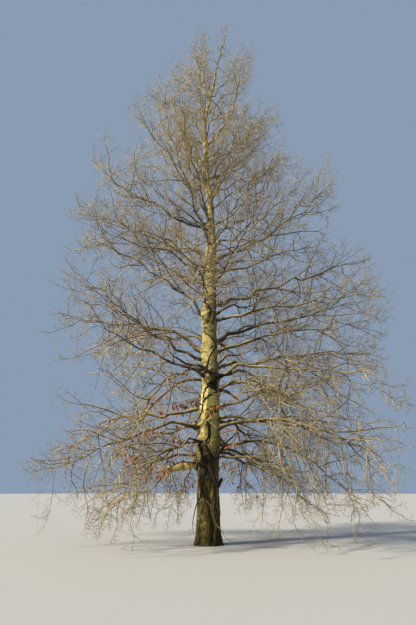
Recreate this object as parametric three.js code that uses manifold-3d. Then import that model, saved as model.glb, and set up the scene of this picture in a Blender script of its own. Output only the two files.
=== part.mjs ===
// A bare winter oak of pyramid habit: one straight trunk that runs up through the crown to a forked top,
// low limbs that droop, middle limbs that lie level and upper limbs that climb, each ending in a mass of twigs.
// Millimetres, +Z up. The origin is the centre of the flat cut under the trunk at ground level.
// Bearings are degrees from +X towards +Y, and -Y is the side that the tree is seen from.

import * as THREE from "three";
import { mergeVertices } from "three/addons/utils/BufferGeometryUtils.js";
import Module from "manifold-3d";

const wasm = await Module();
wasm.setup();

// Driving dimensions of the trunk.
const TREE_HEIGHT = 20900;
const TRUNK_TOP = 18000; // the bare trunk ends here, and the top mass of twigs grows on from it
const ROOT_FLARE = 110; // how far the root lobes stand out at the ground
const FLARE_HEIGHT = 320;
const ROOT_LOBES = 5;
const LOBE_UNEVENNESS = 0.8; // radians by which the lobes stand off their even places
const LOBE_HOLLOW = 0.5; // share of the flare that is left between two lobes
const TRUNK_RINGS = 22;
const RING_CROWDING = 1.7; // above 1, the rings stand closer together at the root flare
const TRUNK_SIDES = 16;
// Where the trunk's centre line stands at each height: it is nearly plumb, and its top leans to the right.
const TRUNK_LINE = [
  { height: 0, x: 0, y: 0 },
  { height: 3100, x: 15, y: 20 },
  { height: 4500, x: 80, y: 40 },
  { height: 5800, x: 35, y: 30 },
  { height: 8100, x: 50, y: -20 },
  { height: 9400, x: 100, y: -40 },
  { height: 11800, x: 80, y: 20 },
  { height: 12800, x: -50, y: 40 },
  { height: 14200, x: -110, y: 60 },
  { height: 15700, x: -140, y: 90 },
  { height: 17400, x: 200, y: 40 },
  { height: 18700, x: 430, y: 0 },
  { height: TREE_HEIGHT, x: 900, y: -80 },
];
// The trunk's radius over the root flare: it hardly tapers up to its first limbs, and steps in above each
// group of limbs.
const TRUNK_GIRTH = [
  { height: 0, radius: 352 },
  { height: 1600, radius: 350 },
  { height: 3100, radius: 358 },
  { height: 3600, radius: 322 },
  { height: 5000, radius: 298 },
  { height: 5700, radius: 258 },
  { height: 7100, radius: 243 },
  { height: 7700, radius: 228 },
  { height: 8200, radius: 202 },
  { height: 9400, radius: 186 },
  { height: 10600, radius: 154 },
  { height: 11800, radius: 116 },
  { height: 14200, radius: 91 },
  { height: TRUNK_TOP, radius: 46 },
];

// The crown's outline, which only the limbs' own tips may pass.
const CROWN_REACH = 7000; // from the trunk, at the ground
const CROWN_END = 21300;
const GROUND_CLEARANCE = 120;

// Driving dimensions of the limbs.
const GAP = 0.3; // left between pieces that meet
const LIMB_STEPS = 8;
const BOUGH_STEPS = 3; // steps of a limb that are its bare bough
const BOUGH_BELOW = 9700; // a limb that leaves the trunk above this height is twiggy all the way
const BOUGH_SIDES = 6;
const STEM_SIDES = 4;
const LIMB_SLENDERNESS = 0.0115; // a low limb's radius at its foot over its length
const SLIMMER_ABOVE = 0.6; // share of that slenderness that is left at the top of the tree
const LIMB_TAPER = 0.85;
const COLLAR = 1.6; // a limb is this much thicker at the trunk's centre line
const LIMB_WOBBLE = 0.34;

// Driving dimensions of the twigs. An order of branches has a count on its parent, the shares of the parent's
// length where the first and last stand, a length as a share of the parent's, a spread off the parent's way in
// degrees, a wobble and a number of steps.
const SIDE_BRANCHES = {
  count: 9, first: 0.14, last: 0.97, length: 0.48, spread: 54, wobble: 0.42, steps: 4,
};
const SIDE_TWIGS = {
  count: 7, first: 0.2, last: 0.95, length: 0.46, spread: 48, wobble: 0.5, steps: 3,
};
const GOLDEN_ANGLE = 137.5; // from one branch to the next, round their parent
const SCATTER = { place: 0.6, turn: 60, spread: 24, length: 0.7 };
const SPREAD_CHANGE = [1.1, 0.8]; // of the spread, from a parent's foot to its tip
const SHORTER_AT_TIP = 0.9; // under 1, by how much branches shorten towards their parent's tip
const SPRAY_FLATNESS = 0.4; // of a level parent's spray, as its depth over its width
const LIFT = { low: -0.12, high: 0.15, from: 2000, to: 11500 }; // how twigs bend, low and high in the crown
const SHORTENED = [1, 0.7, 0.45]; // shares of its length that a branch is tried at before it is skipped
const SPACE_MARGIN = 25; // how much nearer a twig is to its own limb than to any other
const BRANCH_SLENDERNESS = 0.012;
const BRANCH_RADIUS = 4; // the least that a branch is thick at its foot
const BRANCH_SHARE = 0.8; // the most that it is, of its parent's radius
const BARE_START = 0.06; // share of a limb that stays bare where its mass begins
const SHOWN_TWIG = 2; // the one twig of each branch that is solid here
const TWIGLESS_BELOW = 750; // a branch shorter than this has no solid twig
const TWIG_SIDES = 3;
const FUSED_WITHIN = 1.5; // where twigs fuse, a facet this slight is dropped

// Seeds. A branch's own numbers and its children's seeds come from different places in its row.
const SEED = 41;
const BROKEN_PLACE = 77;
const TOP_PLACE = 99;
const WANDER_PLACE = 11;
const CHILD_PLACE = 101;

// The limbs that show from the front, each by the height where it leaves the trunk, its bearing, its length,
// and its rise above level, in degrees, at its foot, middle and tip.
const SHOWN_LIMBS = [
  { name: "right_01", height: 3300, bearing: 314, length: 6600, rise: [16, -12, -44] },
  { name: "right_02", height: 4450, bearing: 12, length: 5600, rise: [42, -25, -57] },
  { name: "right_03", height: 4730, bearing: 333, length: 6000, rise: [36, -13, -21] },
  { name: "right_04", height: 5330, bearing: 4, length: 6300, rise: [10, 3, 6] },
  { name: "right_05", height: 5780, bearing: 350, length: 5700, rise: [25, 6, 11] },
  { name: "right_06", height: 6120, bearing: 24, length: 7100, rise: [25, 21, 12] },
  { name: "right_07", height: 7010, bearing: 338, length: 5800, rise: [10, 7, 7] },
  { name: "right_08", height: 7720, bearing: 8, length: 6600, rise: [20, 19, 7] },
  { name: "right_09", height: 9310, bearing: 350, length: 5700, rise: [13, 35, 38] },
  { name: "right_10", height: 10100, bearing: 338, length: 4200, rise: [58, 44, 0] },
  { name: "right_11", height: 11780, bearing: 24, length: 6100, rise: [87, 59, 66] },
  { name: "right_12", height: 14450, bearing: 10, length: 6100, rise: [48, 75, 52] },
  { name: "left_01", height: 2850, bearing: 214, length: 4400, rise: [14, -40, -34] },
  { name: "left_02", height: 3900, bearing: 160, length: 6500, rise: [6, -14, -34] },
  { name: "left_03", height: 5400, bearing: 222, length: 4800, rise: [12, -50, -46] },
  { name: "left_04", height: 5660, bearing: 192, length: 5700, rise: [3, 36, 28] },
  { name: "left_05", height: 5840, bearing: 166, length: 6700, rise: [50, 8, 25] },
  { name: "left_06", height: 7110, bearing: 171, length: 6300, rise: [54, 41, 26] },
  { name: "left_07", height: 8770, bearing: 186, length: 5500, rise: [53, 23, 2] },
  { name: "left_08", height: 10430, bearing: 175, length: 6400, rise: [25, 36, 59] },
  { name: "left_09", height: 10970, bearing: 196, length: 5600, rise: [75, 49, 72] },
  { name: "left_10", height: 13780, bearing: 160, length: 5000, rise: [31, 68, 40] },
  { name: "left_11", height: 14550, bearing: 196, length: 3500, rise: [9, 58, -38] },
  { name: "left_leader", height: 15740, bearing: 184, length: 4500, rise: [69, 95, 85], bough: true },
];

// The limbs on the near and far sides go by a rule. They stand by turns near and far, their length follows the
// crown's outline, and their rise grows with their height as it does on the limbs that show.
const HIDDEN_HEIGHTS = [2450, 3600, 4700, 6100, 7300, 8500, 10750, 12200, 13600];
const HIDDEN_SIDES = [{ name: "near", bearing: 270 }, { name: "far", bearing: 90 }];
const HIDDEN_SCATTER = 60; // degrees round the bearing
const GOLDEN_SHARE = 0.618; // of the scatter, from one hidden limb to the next
const HIDDEN_LENGTH = 1.02; // over the crown's reach
const FOOT_RISE = { ground: -6, perMetre: 4.2, most: 80 };
const TIP_RISE = { ground: -70, perMetre: 11.5, most: 66 };
// Those that leave the trunk's near face show end on, so that their bearing, length and rise are seen.
const END_ON = {
  near_01: { bearing: 268, length: 3000, rise: [10, 2, -16] },
  near_02: { bearing: 304, length: 5400, rise: [-4, -16, -40] },
  near_03: { bearing: 262, length: 5000, rise: [8, -4, -20] },
};

// A short broken limb low on the left side, with no twigs of its own.
const BROKEN_LIMB = { name: "broken_limb", height: 2300, bearing: 189, length: 1400, rise: [-2, -14, -13] };
const BROKEN_STEPS = 4;
const BROKEN_RADII = [125, 80]; // at its foot and at the break

const TRUNK_BARK = { color: 0x8f8254, roughness: 0.9, metalness: 0 };
const BOUGH_BARK = { color: 0x857a55, roughness: 0.88, metalness: 0 };
const TWIG_BARK = { color: 0x87785f, roughness: 0.85, metalness: 0 };

const { degToRad: radians, lerp: mixed, clamp } = THREE.MathUtils;
const counted = (count) => [...Array(count).keys()];

// A whole number that depends on a seed and an index alone, so that any branch can be left out without
// changing another.
function scramble(seed, index) {
  let h = (seed ^ Math.imul(index + 1, 0x9e3779b1)) >>> 0;
  h = Math.imul(h ^ (h >>> 16), 0x85ebca6b) >>> 0;
  h = Math.imul(h ^ (h >>> 13), 0xc2b2ae35) >>> 0;
  return (h ^ (h >>> 16)) >>> 0;
}

// A number from -0.5 to 0.5.
const swing = (seed, index) => scramble(seed, index) / 2 ** 32 - 0.5;

// A value at a height, on a smooth curve through stations.
function smoothAt(stations, height, value) {
  const last = stations.length - 1;
  let i = 0;
  while (i < last - 1 && height > stations[i + 1].height) i += 1;
  const [a, b] = [stations[i], stations[i + 1]];
  const span = b.height - a.height;
  const t = (height - a.height) / span;
  const slope = (j) => {
    const [p, q] = [stations[Math.max(j - 1, 0)], stations[Math.min(j + 1, last)]];
    return (q[value] - p[value]) / (q.height - p.height);
  };
  return (
    (2 * t ** 3 - 3 * t ** 2 + 1) * a[value] + (t ** 3 - 2 * t ** 2 + t) * span * slope(i) +
    (3 * t ** 2 - 2 * t ** 3) * b[value] + (t ** 3 - t ** 2) * span * slope(i + 1)
  );
}

const trunkCentre = (height) =>
  new THREE.Vector3(smoothAt(TRUNK_LINE, height, "x"), smoothAt(TRUNK_LINE, height, "y"), height);
const trunkRadius = (height) => smoothAt(TRUNK_GIRTH, height, "radius");

// The root flare stands out in lobes that fade within a knee's height.
function flare(height, angle) {
  const lobe = Math.cos(ROOT_LOBES * angle + LOBE_UNEVENNESS * Math.sin(2 * angle));
  return ROOT_FLARE * Math.exp(-height / FLARE_HEIGHT) * mixed(LOBE_HOLLOW, 1, (1 + lobe) / 2);
}

// How far the crown reaches from the trunk at a height.
const crownReach = (height) => CROWN_REACH * (1 - (height / CROWN_END) ** 2);

// A closed solid of rings. ring(i, angle, out) says where a point of ring i lies, with out at 0 for the centre
// of an end face. A pointed solid's last ring is a single point.
function ringed(rings, sides, pointed, ring) {
  const steps = rings - 1;
  const geometry = new THREE.CylinderGeometry(pointed ? 0 : 1, 1, 1, sides, steps);
  const position = geometry.attributes.position;
  for (let i = 0; i < position.count; i += 1) {
    const level = Math.round((position.getY(i) + 0.5) * steps);
    const angle = Math.atan2(position.getX(i), position.getZ(i));
    const out = Math.hypot(position.getX(i), position.getZ(i)) < 1e-6 ? 0 : 1;
    const point = ring(level, angle, out);
    position.setXYZ(i, point.x, point.y, point.z);
  }
  geometry.deleteAttribute("normal");
  geometry.deleteAttribute("uv");
  const { attributes, index } = mergeVertices(geometry, 1e-3);
  const triVerts = new Uint32Array(index.array);
  return new wasm.Manifold(new wasm.Mesh({ numProp: 3, vertProperties: attributes.position.array, triVerts }));
}

// The trunk, made larger all round by a margin.
function trunkSolid(margin) {
  const heights = counted(TRUNK_RINGS).map((i) => TRUNK_TOP * (i / (TRUNK_RINGS - 1)) ** RING_CROWDING);
  return ringed(TRUNK_RINGS, TRUNK_SIDES, false, (level, angle, out) => {
    const height = heights[level];
    const radius = out * (trunkRadius(height) + flare(height, angle) + margin);
    const top = level === TRUNK_RINGS - 1 ? margin : 0;
    return trunkCentre(height).add(new THREE.Vector3(radius * Math.cos(angle), radius * Math.sin(angle), top));
  });
}

// A solid along a line of points, with the radius that each point has. It can be one part of the line, from
// the first point to the last, and can start a little way past its first point.
function taperedSolid(line, radii, sides, first = 0, last = line.length - 1, start = 0) {
  const ways = line.map((p, i) =>
    line[Math.min(i + 1, line.length - 1)].clone().sub(line[Math.max(i - 1, 0)]).normalize(),
  );
  const across = new THREE.Vector3(-ways[0].y, ways[0].x, 1e-3).normalize();
  const frames = ways.map((way) => {
    across.addScaledVector(way, -across.dot(way)).normalize();
    return [across.clone(), way.clone().cross(across)];
  });
  return ringed(last - first + 1, sides, radii[last] === 0, (level, angle, out) => {
    const i = first + level;
    const radius = out * radii[i];
    return line[i].clone()
      .addScaledVector(ways[i], level ? 0 : start)
      .addScaledVector(frames[i][0], radius * Math.cos(angle))
      .addScaledVector(frames[i][1], radius * Math.sin(angle));
  });
}

// A limb's rise at a share of its length: a curve through its foot, middle and tip values.
function riseAt([foot, middle, tip], share) {
  return (1 - share) * (foot * (1 - 2 * share) + middle * 4 * share) + tip * share * (2 * share - 1);
}

// A limb's centre line, from the trunk's own centre outwards, with a small turn at each step.
function limbLine(limb, steps) {
  const line = [trunkCentre(limb.height)];
  for (let i = 0; i < steps; i += 1) {
    const rise = radians(riseAt(limb.rise, (i + 0.5) / steps)) + LIMB_WOBBLE * swing(limb.seed, 2 * i);
    const bearing = radians(limb.bearing) + LIMB_WOBBLE * swing(limb.seed, 2 * i + 1);
    const way = new THREE.Vector3(
      Math.cos(rise) * Math.cos(bearing), Math.cos(rise) * Math.sin(bearing), Math.sin(rise),
    );
    line.push(line[i].clone().addScaledVector(way, limb.length / steps));
  }
  return line;
}

// Radii along a limb, from a swollen collar inside the trunk to a point.
function limbRadii(foot) {
  return counted(LIMB_STEPS + 1).map((i) => foot * (i ? 1 : COLLAR) * (1 - i / LIMB_STEPS) ** LIMB_TAPER);
}

// The limbs on the far and near sides, by their rule.
function hiddenLimbs() {
  return HIDDEN_HEIGHTS.map((height, i) => {
    const side = HIDDEN_SIDES[i % 2];
    const [foot, tip] = [FOOT_RISE, TIP_RISE].map(({ ground, perMetre, most }) =>
      Math.min(ground + (perMetre * height) / 1000, most),
    );
    const name = `${side.name}_0${Math.floor(i / 2) + 1}`;
    return {
      name,
      height,
      bearing: side.bearing + HIDDEN_SCATTER * (((GOLDEN_SHARE * i + 0.5) % 1) - 0.5),
      length: HIDDEN_LENGTH * crownReach(height),
      rise: [foot, (foot + tip) / 2, tip],
      ...END_ON[name],
    };
  });
}

// The top of the tree grows straight on from the trunk, at the trunk's own radius.
function topLimb() {
  const line = counted(LIMB_STEPS + 1).map((i) =>
    trunkCentre(mixed(TRUNK_TOP + GAP, TREE_HEIGHT, i / LIMB_STEPS)),
  );
  const foot = trunkRadius(TRUNK_TOP);
  const radii = limbRadii(foot).with(0, foot);
  const length = TREE_HEIGHT - TRUNK_TOP;
  return { name: "top", height: TRUNK_TOP, length, line, radii, seed: scramble(SEED, TOP_PLACE) };
}

function allLimbs() {
  const onTrunk = [...SHOWN_LIMBS, ...hiddenLimbs()].map((limb, i) => {
    const seeded = { ...limb, seed: scramble(SEED, i) };
    const slenderness = LIMB_SLENDERNESS * mixed(1, SLIMMER_ABOVE, limb.height / TREE_HEIGHT);
    return { ...seeded, line: limbLine(seeded, LIMB_STEPS), radii: limbRadii(limb.length * slenderness) };
  });
  return [...onTrunk, topLimb()];
}

// A point at a share of a line's length, and the line's way there.
function pointOn(line, share) {
  const place = share * (line.length - 1);
  const i = Math.min(Math.floor(place), line.length - 2);
  const way = line[i + 1].clone().sub(line[i]);
  return { point: line[i].clone().addScaledVector(way, place - i), way: way.normalize() };
}

// Twigs hang a little at the crown's foot, and turn up to the light above.
const liftAt = (height) =>
  mixed(LIFT.low, LIFT.high, clamp((height - LIFT.from) / (LIFT.to - LIFT.from), 0, 1));

// A branch's centre line, which wanders and bends at each step.
function branchLine(from, way, length, seed, order) {
  const line = [from];
  const heading = way.clone();
  for (let i = 0; i < order.steps; i += 1) {
    const place = WANDER_PLACE + 3 * i;
    heading.x += order.wobble * swing(seed, place);
    heading.y += order.wobble * swing(seed, place + 1);
    heading.z += order.wobble * swing(seed, place + 2) + liftAt(from.z);
    heading.normalize();
    line.push(line[i].clone().addScaledVector(heading, length / order.steps));
  }
  return line;
}

// The way of a branch that spreads off its parent's way and is turned round it, in a flatter spray on a level
// parent.
function branchWay(way, turn, spread) {
  const level = new THREE.Vector3(-way.y, way.x, 1e-6).normalize();
  const over = way.clone().cross(level);
  const depth = mixed(SPRAY_FLATNESS, 1, Math.abs(way.z));
  return way.clone().multiplyScalar(Math.cos(spread))
    .addScaledVector(level, Math.cos(turn) * Math.sin(spread))
    .addScaledVector(over, Math.sin(turn) * Math.sin(spread) * depth)
    .normalize();
}

// The branches of one order on a parent. Each is shortened until it fits its space, or is skipped.
function branchesOn(parent, order, fits) {
  const grown = [];
  for (let j = 0; j < order.count; j += 1) {
    const seed = scramble(parent.seed, CHILD_PLACE + j);
    const along = (j + 0.5 + SCATTER.place * swing(seed, 1)) / order.count;
    const share = mixed(order.first, order.last, along);
    const { point, way } = pointOn(parent.line, share);
    const turn = radians(GOLDEN_ANGLE * j + SCATTER.turn * swing(seed, 2));
    const spread = radians(order.spread * mixed(...SPREAD_CHANGE, share) + SCATTER.spread * swing(seed, 3));
    const heading = branchWay(way, turn, spread);
    const full = parent.length * order.length * Math.sqrt(1 - SHORTER_AT_TIP * share) *
      (1 + SCATTER.length * swing(seed, 4));
    const fitted = SHORTENED.map((part) => ({ index: j, share, seed, length: full * part }))
      .map((branch) => ({ ...branch, line: branchLine(point, heading, branch.length, seed, order) }))
      .find((branch) => fits(branch.line));
    if (fitted) grown.push(fitted);
  }
  return grown;
}

function distanceTo(point, line) {
  const nearest = new THREE.Vector3();
  let least = Infinity;
  for (let i = 1; i < line.length; i += 1) {
    new THREE.Line3(line[i - 1], line[i]).closestPointToPoint(point, true, nearest);
    least = Math.min(least, nearest.distanceTo(point));
  }
  return least;
}

// A mass's space is all that is nearer to its own limb than to the trunk or another limb, above the ground
// and inside the crown's outline.
function spaceOf(limb, others) {
  const tip = limb.line.at(-1);
  const clear = (point) => {
    if (point.z < GROUND_CLEARANCE || point.z > CROWN_END) return false;
    if (Math.hypot(point.x, point.y) > Math.max(crownReach(point.z), Math.hypot(tip.x, tip.y))) return false;
    const own = distanceTo(point, limb.line) + SPACE_MARGIN;
    return others.every((other) => distanceTo(point, other) > own);
  };
  return (line) => line.slice(1).every(clear);
}

const branchFoot = (parentRadius, length) =>
  Math.min(BRANCH_SHARE * parentRadius, BRANCH_SLENDERNESS * length) + BRANCH_RADIUS;

// A branch of a mass and its one solid twig, the branch with a bend halfway.
function branchSolids(limb, branch, fits) {
  const line = branch.line.filter((point, i) => i % 2 === 0);
  const foot = branchFoot(limb.radii[1] * (1 - branch.share), branch.length);
  const solids = [taperedSolid(line, [foot, foot / 2, 0], TWIG_SIDES)];
  const twigs = branch.length < TWIGLESS_BELOW ? [] : branchesOn({ ...branch, line }, SIDE_TWIGS, fits);
  const twig = twigs.find(({ index }) => index === SHOWN_TWIG);
  if (twig) {
    const root = branchFoot(foot * (1 - twig.share), twig.length);
    solids.push(taperedSolid([twig.line[0], twig.line.at(-1)], [root, 0], TWIG_SIDES));
  }
  return solids;
}

// The mass of twigs at a limb's outer end, fused from its stem, which starts at a step of the limb, and the
// branches on it.
function massSolid(limb, firstStep, others) {
  const start = firstStep ? GAP : 0;
  const stem = taperedSolid(limb.line, limb.radii, STEM_SIDES, firstStep, LIMB_STEPS, start);
  const fits = spaceOf(limb, others);
  const branches = branchesOn(limb, SIDE_BRANCHES, fits)
    .filter(({ share }) => share > firstStep / LIMB_STEPS + BARE_START)
    .flatMap((branch) => branchSolids(limb, branch, fits));
  return wasm.Manifold.union([stem, ...branches]).simplify(FUSED_WITHIN);
}

// A limb that is broken off short.
function brokenLimb() {
  const line = limbLine({ ...BROKEN_LIMB, seed: scramble(SEED, BROKEN_PLACE) }, BROKEN_STEPS);
  const radii = line.map((point, i) => mixed(...BROKEN_RADII, i / BROKEN_STEPS));
  return { line, solid: taperedSolid(line, radii, BOUGH_SIDES) };
}

function meshOf(name, solid, finish) {
  const { numVert, numProp, vertProperties, triVerts } = solid.getMesh();
  const position = new Float32Array(numVert * 3);
  for (let i = 0; i < numVert; i += 1) {
    position.set(vertProperties.subarray(i * numProp, i * numProp + 3), i * 3);
  }
  const geometry = new THREE.BufferGeometry();
  geometry.setAttribute("position", new THREE.BufferAttribute(position, 3));
  geometry.setIndex(new THREE.BufferAttribute(triVerts, 1));
  const mesh = new THREE.Mesh(geometry, new THREE.MeshStandardMaterial(finish));
  mesh.name = name;
  return mesh;
}

const tree = new THREE.Group();
tree.add(meshOf("trunk", trunkSolid(0), TRUNK_BARK));

const clearance = trunkSolid(GAP);
const broken = brokenLimb();
tree.add(meshOf(BROKEN_LIMB.name, broken.solid.subtract(clearance), BOUGH_BARK));

const limbs = allLimbs();
const trunkLine = counted(LIMB_STEPS + 1).map((i) => trunkCentre((TRUNK_TOP * i) / LIMB_STEPS));
for (const limb of limbs) {
  const isTop = limb.name === "top";
  const hasBough = !isTop && (limb.bough || limb.height < BOUGH_BELOW);
  if (hasBough) {
    const bough = taperedSolid(limb.line, limb.radii, BOUGH_SIDES, 0, BOUGH_STEPS);
    tree.add(meshOf(`bough_${limb.name}`, bough.subtract(clearance), BOUGH_BARK));
  }
  const otherLimbs = limbs.filter((other) => other !== limb).map((other) => other.line);
  const others = [broken.line, ...otherLimbs, ...(isTop ? [] : [trunkLine])];
  const mass = massSolid(limb, hasBough ? BOUGH_STEPS : 0, others);
  tree.add(meshOf(`twigs_${limb.name}`, hasBough ? mass : mass.subtract(clearance), TWIG_BARK));
}

export default tree;
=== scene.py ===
import itertools
import math
from types import SimpleNamespace

import bpy
import numpy as np
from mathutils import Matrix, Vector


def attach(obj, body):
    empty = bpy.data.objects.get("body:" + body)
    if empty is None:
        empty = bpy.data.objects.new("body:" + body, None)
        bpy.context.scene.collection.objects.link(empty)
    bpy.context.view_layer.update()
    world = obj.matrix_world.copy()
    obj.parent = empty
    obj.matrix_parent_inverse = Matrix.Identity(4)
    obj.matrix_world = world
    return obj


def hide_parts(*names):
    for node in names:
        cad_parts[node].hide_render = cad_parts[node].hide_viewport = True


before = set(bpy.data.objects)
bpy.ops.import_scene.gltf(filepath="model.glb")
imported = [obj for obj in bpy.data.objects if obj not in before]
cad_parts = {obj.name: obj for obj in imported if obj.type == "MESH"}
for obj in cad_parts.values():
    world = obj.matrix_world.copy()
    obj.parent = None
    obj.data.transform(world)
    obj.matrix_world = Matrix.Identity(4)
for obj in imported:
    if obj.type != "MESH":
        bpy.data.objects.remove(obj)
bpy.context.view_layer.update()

# The stage: a plain pale backdrop, a warm key light from the left behind the camera, and a weak broad fill
# from the right. The camera stands at eye height and looks up at the tree.
EYE_HEIGHT = 1.6
EYE_DISTANCE = 16.0
EYE_TILT = math.radians(19.851)  # above level
EYE_LENS = 28
EYE_SENSOR = 36
FARTHEST_SEEN = 400
PALE_BACKDROP = (0.52, 0.69, 0.93, 1)
BACKDROP_STRENGTH = 0.48

scene = bpy.context.scene
scene.view_settings.view_transform = "Standard"


def placed(name, data):
    """A new object of the scene that holds the data given."""
    made = bpy.data.objects.new(name, data)
    scene.collection.objects.link(made)
    return made


eye = bpy.data.cameras.new("eye")
eye.lens = EYE_LENS
eye.sensor_width = EYE_SENSOR
eye.clip_end = FARTHEST_SEEN
scene.camera = placed("eye", eye)
scene.camera.location = (0, -EYE_DISTANCE, EYE_HEIGHT)
scene.camera.rotation_euler = (math.pi / 2 + EYE_TILT, 0, 0)

backdrop = bpy.data.worlds.new("backdrop")
backdrop.use_nodes = True
backdrop.node_tree.nodes["Background"].inputs["Color"].default_value = PALE_BACKDROP
backdrop.node_tree.nodes["Background"].inputs["Strength"].default_value = BACKDROP_STRENGTH
scene.world = backdrop


def soft_light(name, toward, strength, width, colour):
    """A light with parallel rays that shines along a direction. Its width is in degrees."""
    light = bpy.data.lights.new(name, "SUN")
    light.energy = strength
    light.angle = math.radians(width)
    light.color = colour
    placed(name, light).rotation_euler = Vector(toward).to_track_quat("-Z", "Y").to_euler()


soft_light("key_light", toward=(0.78, 0.46, -0.50), strength=6.6, width=4, colour=(1.0, 0.91, 0.74))
soft_light("fill_light", toward=(-0.5, 0.7, -0.35), strength=0.2, width=40, colour=(0.85, 0.92, 1.0))


NOISE_ROUGHNESS = 0.55


class Tone:
    """One value in a tree of nodes, held by a node's output. Sums and products of tones add Math nodes."""

    def __init__(self, tree, socket=None):
        self.tree = tree
        self.socket = socket

    def node(self, kind, settings=None, sockets=None, out=0):
        """Adds a node: first its settings, and then its sockets, each a value or a tone."""
        made = self.tree.nodes.new(kind)
        for name, value in (settings or {}).items():
            setattr(made, name, value)
        for name, value in (sockets or {}).items():
            if isinstance(value, Tone):
                self.tree.links.new(value.socket, made.inputs[name])
            else:
                made.inputs[name].default_value = value
        return Tone(self.tree, made.outputs[out])

    def maths(self, operation, *values):
        return self.node("ShaderNodeMath", {"operation": operation}, dict(enumerate(values)))

    def __add__(self, other):
        return self.maths("ADD", self, other)

    def __sub__(self, other):
        return self.maths("SUBTRACT", self, other)

    def __rsub__(self, other):
        return self.maths("SUBTRACT", other, self)

    def __mul__(self, other):
        return self.maths("MULTIPLY", self, other)

    __radd__ = __add__
    __rmul__ = __mul__

    def between(self, low, high):
        """This tone spread from low to high, as 0 to 1."""
        return self.node("ShaderNodeMapRange", {}, {0: self, 1: low, 2: high})

    def noise(self, scale, detail=3.0):
        """Soft noise with this tone, a place, as its coordinates."""
        sockets = {0: self, "Scale": scale, "Detail": detail, "Roughness": NOISE_ROUGHNESS}
        return self.node("ShaderNodeTexNoise", {}, sockets)

    def stretched(self, up):
        """This tone, a place, with its height scaled."""
        return self.node("ShaderNodeMapping", {}, {0: self, "Scale": (1, 1, up)})

    def height(self):
        """The height of this tone, a place."""
        return self.node("ShaderNodeSeparateXYZ", {}, {0: self}, out=2)

    def stored(self, name):
        """The value that a mesh holds for each point under a name."""
        return self.node("ShaderNodeAttribute", {"attribute_name": name}, out=2)

    def plain(self, colour):
        """One colour all over."""
        made = self.node("ShaderNodeRGB")
        made.socket.default_value = (*colour, 1)
        return made

    def mixed(self, share, other):
        """This colour turned towards another by a share."""
        other = other if isinstance(other, Tone) else (*other, 1)
        return self.node("ShaderNodeMix", {"data_type": "RGBA"}, {0: share, 6: self, 7: other}, out=2)


# The trunk: one straight stem of olive bark with shallow upright furrows near the ground, wrinkles and
# collars round its limbs, knots darkened by painted shade, and the scars of shed branches. It stands on its
# flared foot.
TREE_HEIGHT = 20.9
TRUNK_TOP = 18.0
ROOT_FLARE = 0.11
FLARE_HEIGHT = 0.32
ROOT_LOBES = 5
LOBE_UNEVENNESS = 0.8
LOBE_HOLLOW = 0.5
TRUNK_LINE = np.array([
    (0, 0, 0), (3.1, 0.015, 0.02), (4.5, 0.08, 0.04), (5.8, 0.035, 0.03), (8.1, 0.05, -0.02),
    (9.4, 0.1, -0.04),
    (11.8, 0.08, 0.02), (12.8, -0.05, 0.04), (14.2, -0.11, 0.06), (15.7, -0.14, 0.09), (17.4, 0.2, 0.04),
    (18.7, 0.43, 0), (TREE_HEIGHT, 0.9, -0.08),
])  # height, x and y
TRUNK_GIRTH = np.array([
    (0, 0.352), (1.6, 0.350), (3.1, 0.358), (3.6, 0.322), (5, 0.298), (5.7, 0.258), (7.1, 0.243),
    (7.7, 0.228), (8.2, 0.202), (9.4, 0.186), (10.6, 0.154), (11.8, 0.116), (14.2, 0.091), (TRUNK_TOP, 0.046),
])  # height and radius

SEED = 41
LOW_WORD = 0xFFFFFFFF


def scramble(seed, index):
    """A whole number that depends on a seed and an index alone."""
    h = seed ^ ((index + 1) * 0x9E3779B1 & LOW_WORD)
    h = (h ^ (h >> 16)) * 0x85EBCA6B & LOW_WORD
    h = (h ^ (h >> 13)) * 0xC2B2AE35 & LOW_WORD
    return h ^ (h >> 16)


def swing(seed, index):
    """A number from -0.5 to 0.5."""
    return scramble(seed, index) / 2**32 - 0.5


def mixed(low, high, share):
    return low + (high - low) * share


def unit(vectors):
    return vectors / np.linalg.norm(vectors, axis=-1, keepdims=True)


def curve(t, a, b, slope_a, slope_b, span=1):
    """The points at shares t of the way from a to b, on a curve with the slopes given at its two ends."""
    return (
        (2 * t**3 - 3 * t**2 + 1) * a + (t**3 - 2 * t**2 + t) * span * slope_a
        + (3 * t**2 - 2 * t**3) * b + (t**3 - t**2) * span * slope_b
    )


def smooth_at(stations, height):
    """The values at each height, on a smooth curve through stations."""
    height = np.asarray(height, float)
    at, x = stations[:, 0], stations[:, 1:]
    before = np.maximum(np.arange(len(at)) - 1, 0)
    after = np.minimum(np.arange(len(at)) + 1, len(at) - 1)
    slope = (x[after] - x[before]) / (at[after] - at[before])[:, None]
    i = np.clip(np.searchsorted(at, height, side="left") - 1, 0, len(at) - 2)
    span = (at[i + 1] - at[i])[..., None]
    t = (height - at[i])[..., None] / span
    return curve(t, x[i], x[i + 1], slope[i], slope[i + 1], span)


def trunk_centre(height):
    height = np.asarray(height, float)
    return np.concatenate([smooth_at(TRUNK_LINE, height), height[..., None]], axis=-1)


def trunk_radius(height):
    return smooth_at(TRUNK_GIRTH, np.minimum(height, TRUNK_TOP))[..., 0]


def flare(height, angle):
    lobe = np.cos(ROOT_LOBES * angle + LOBE_UNEVENNESS * np.sin(2 * angle))
    return ROOT_FLARE * np.exp(-height / FLARE_HEIGHT) * mixed(LOBE_HOLLOW, 1, (1 + lobe) / 2)


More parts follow.
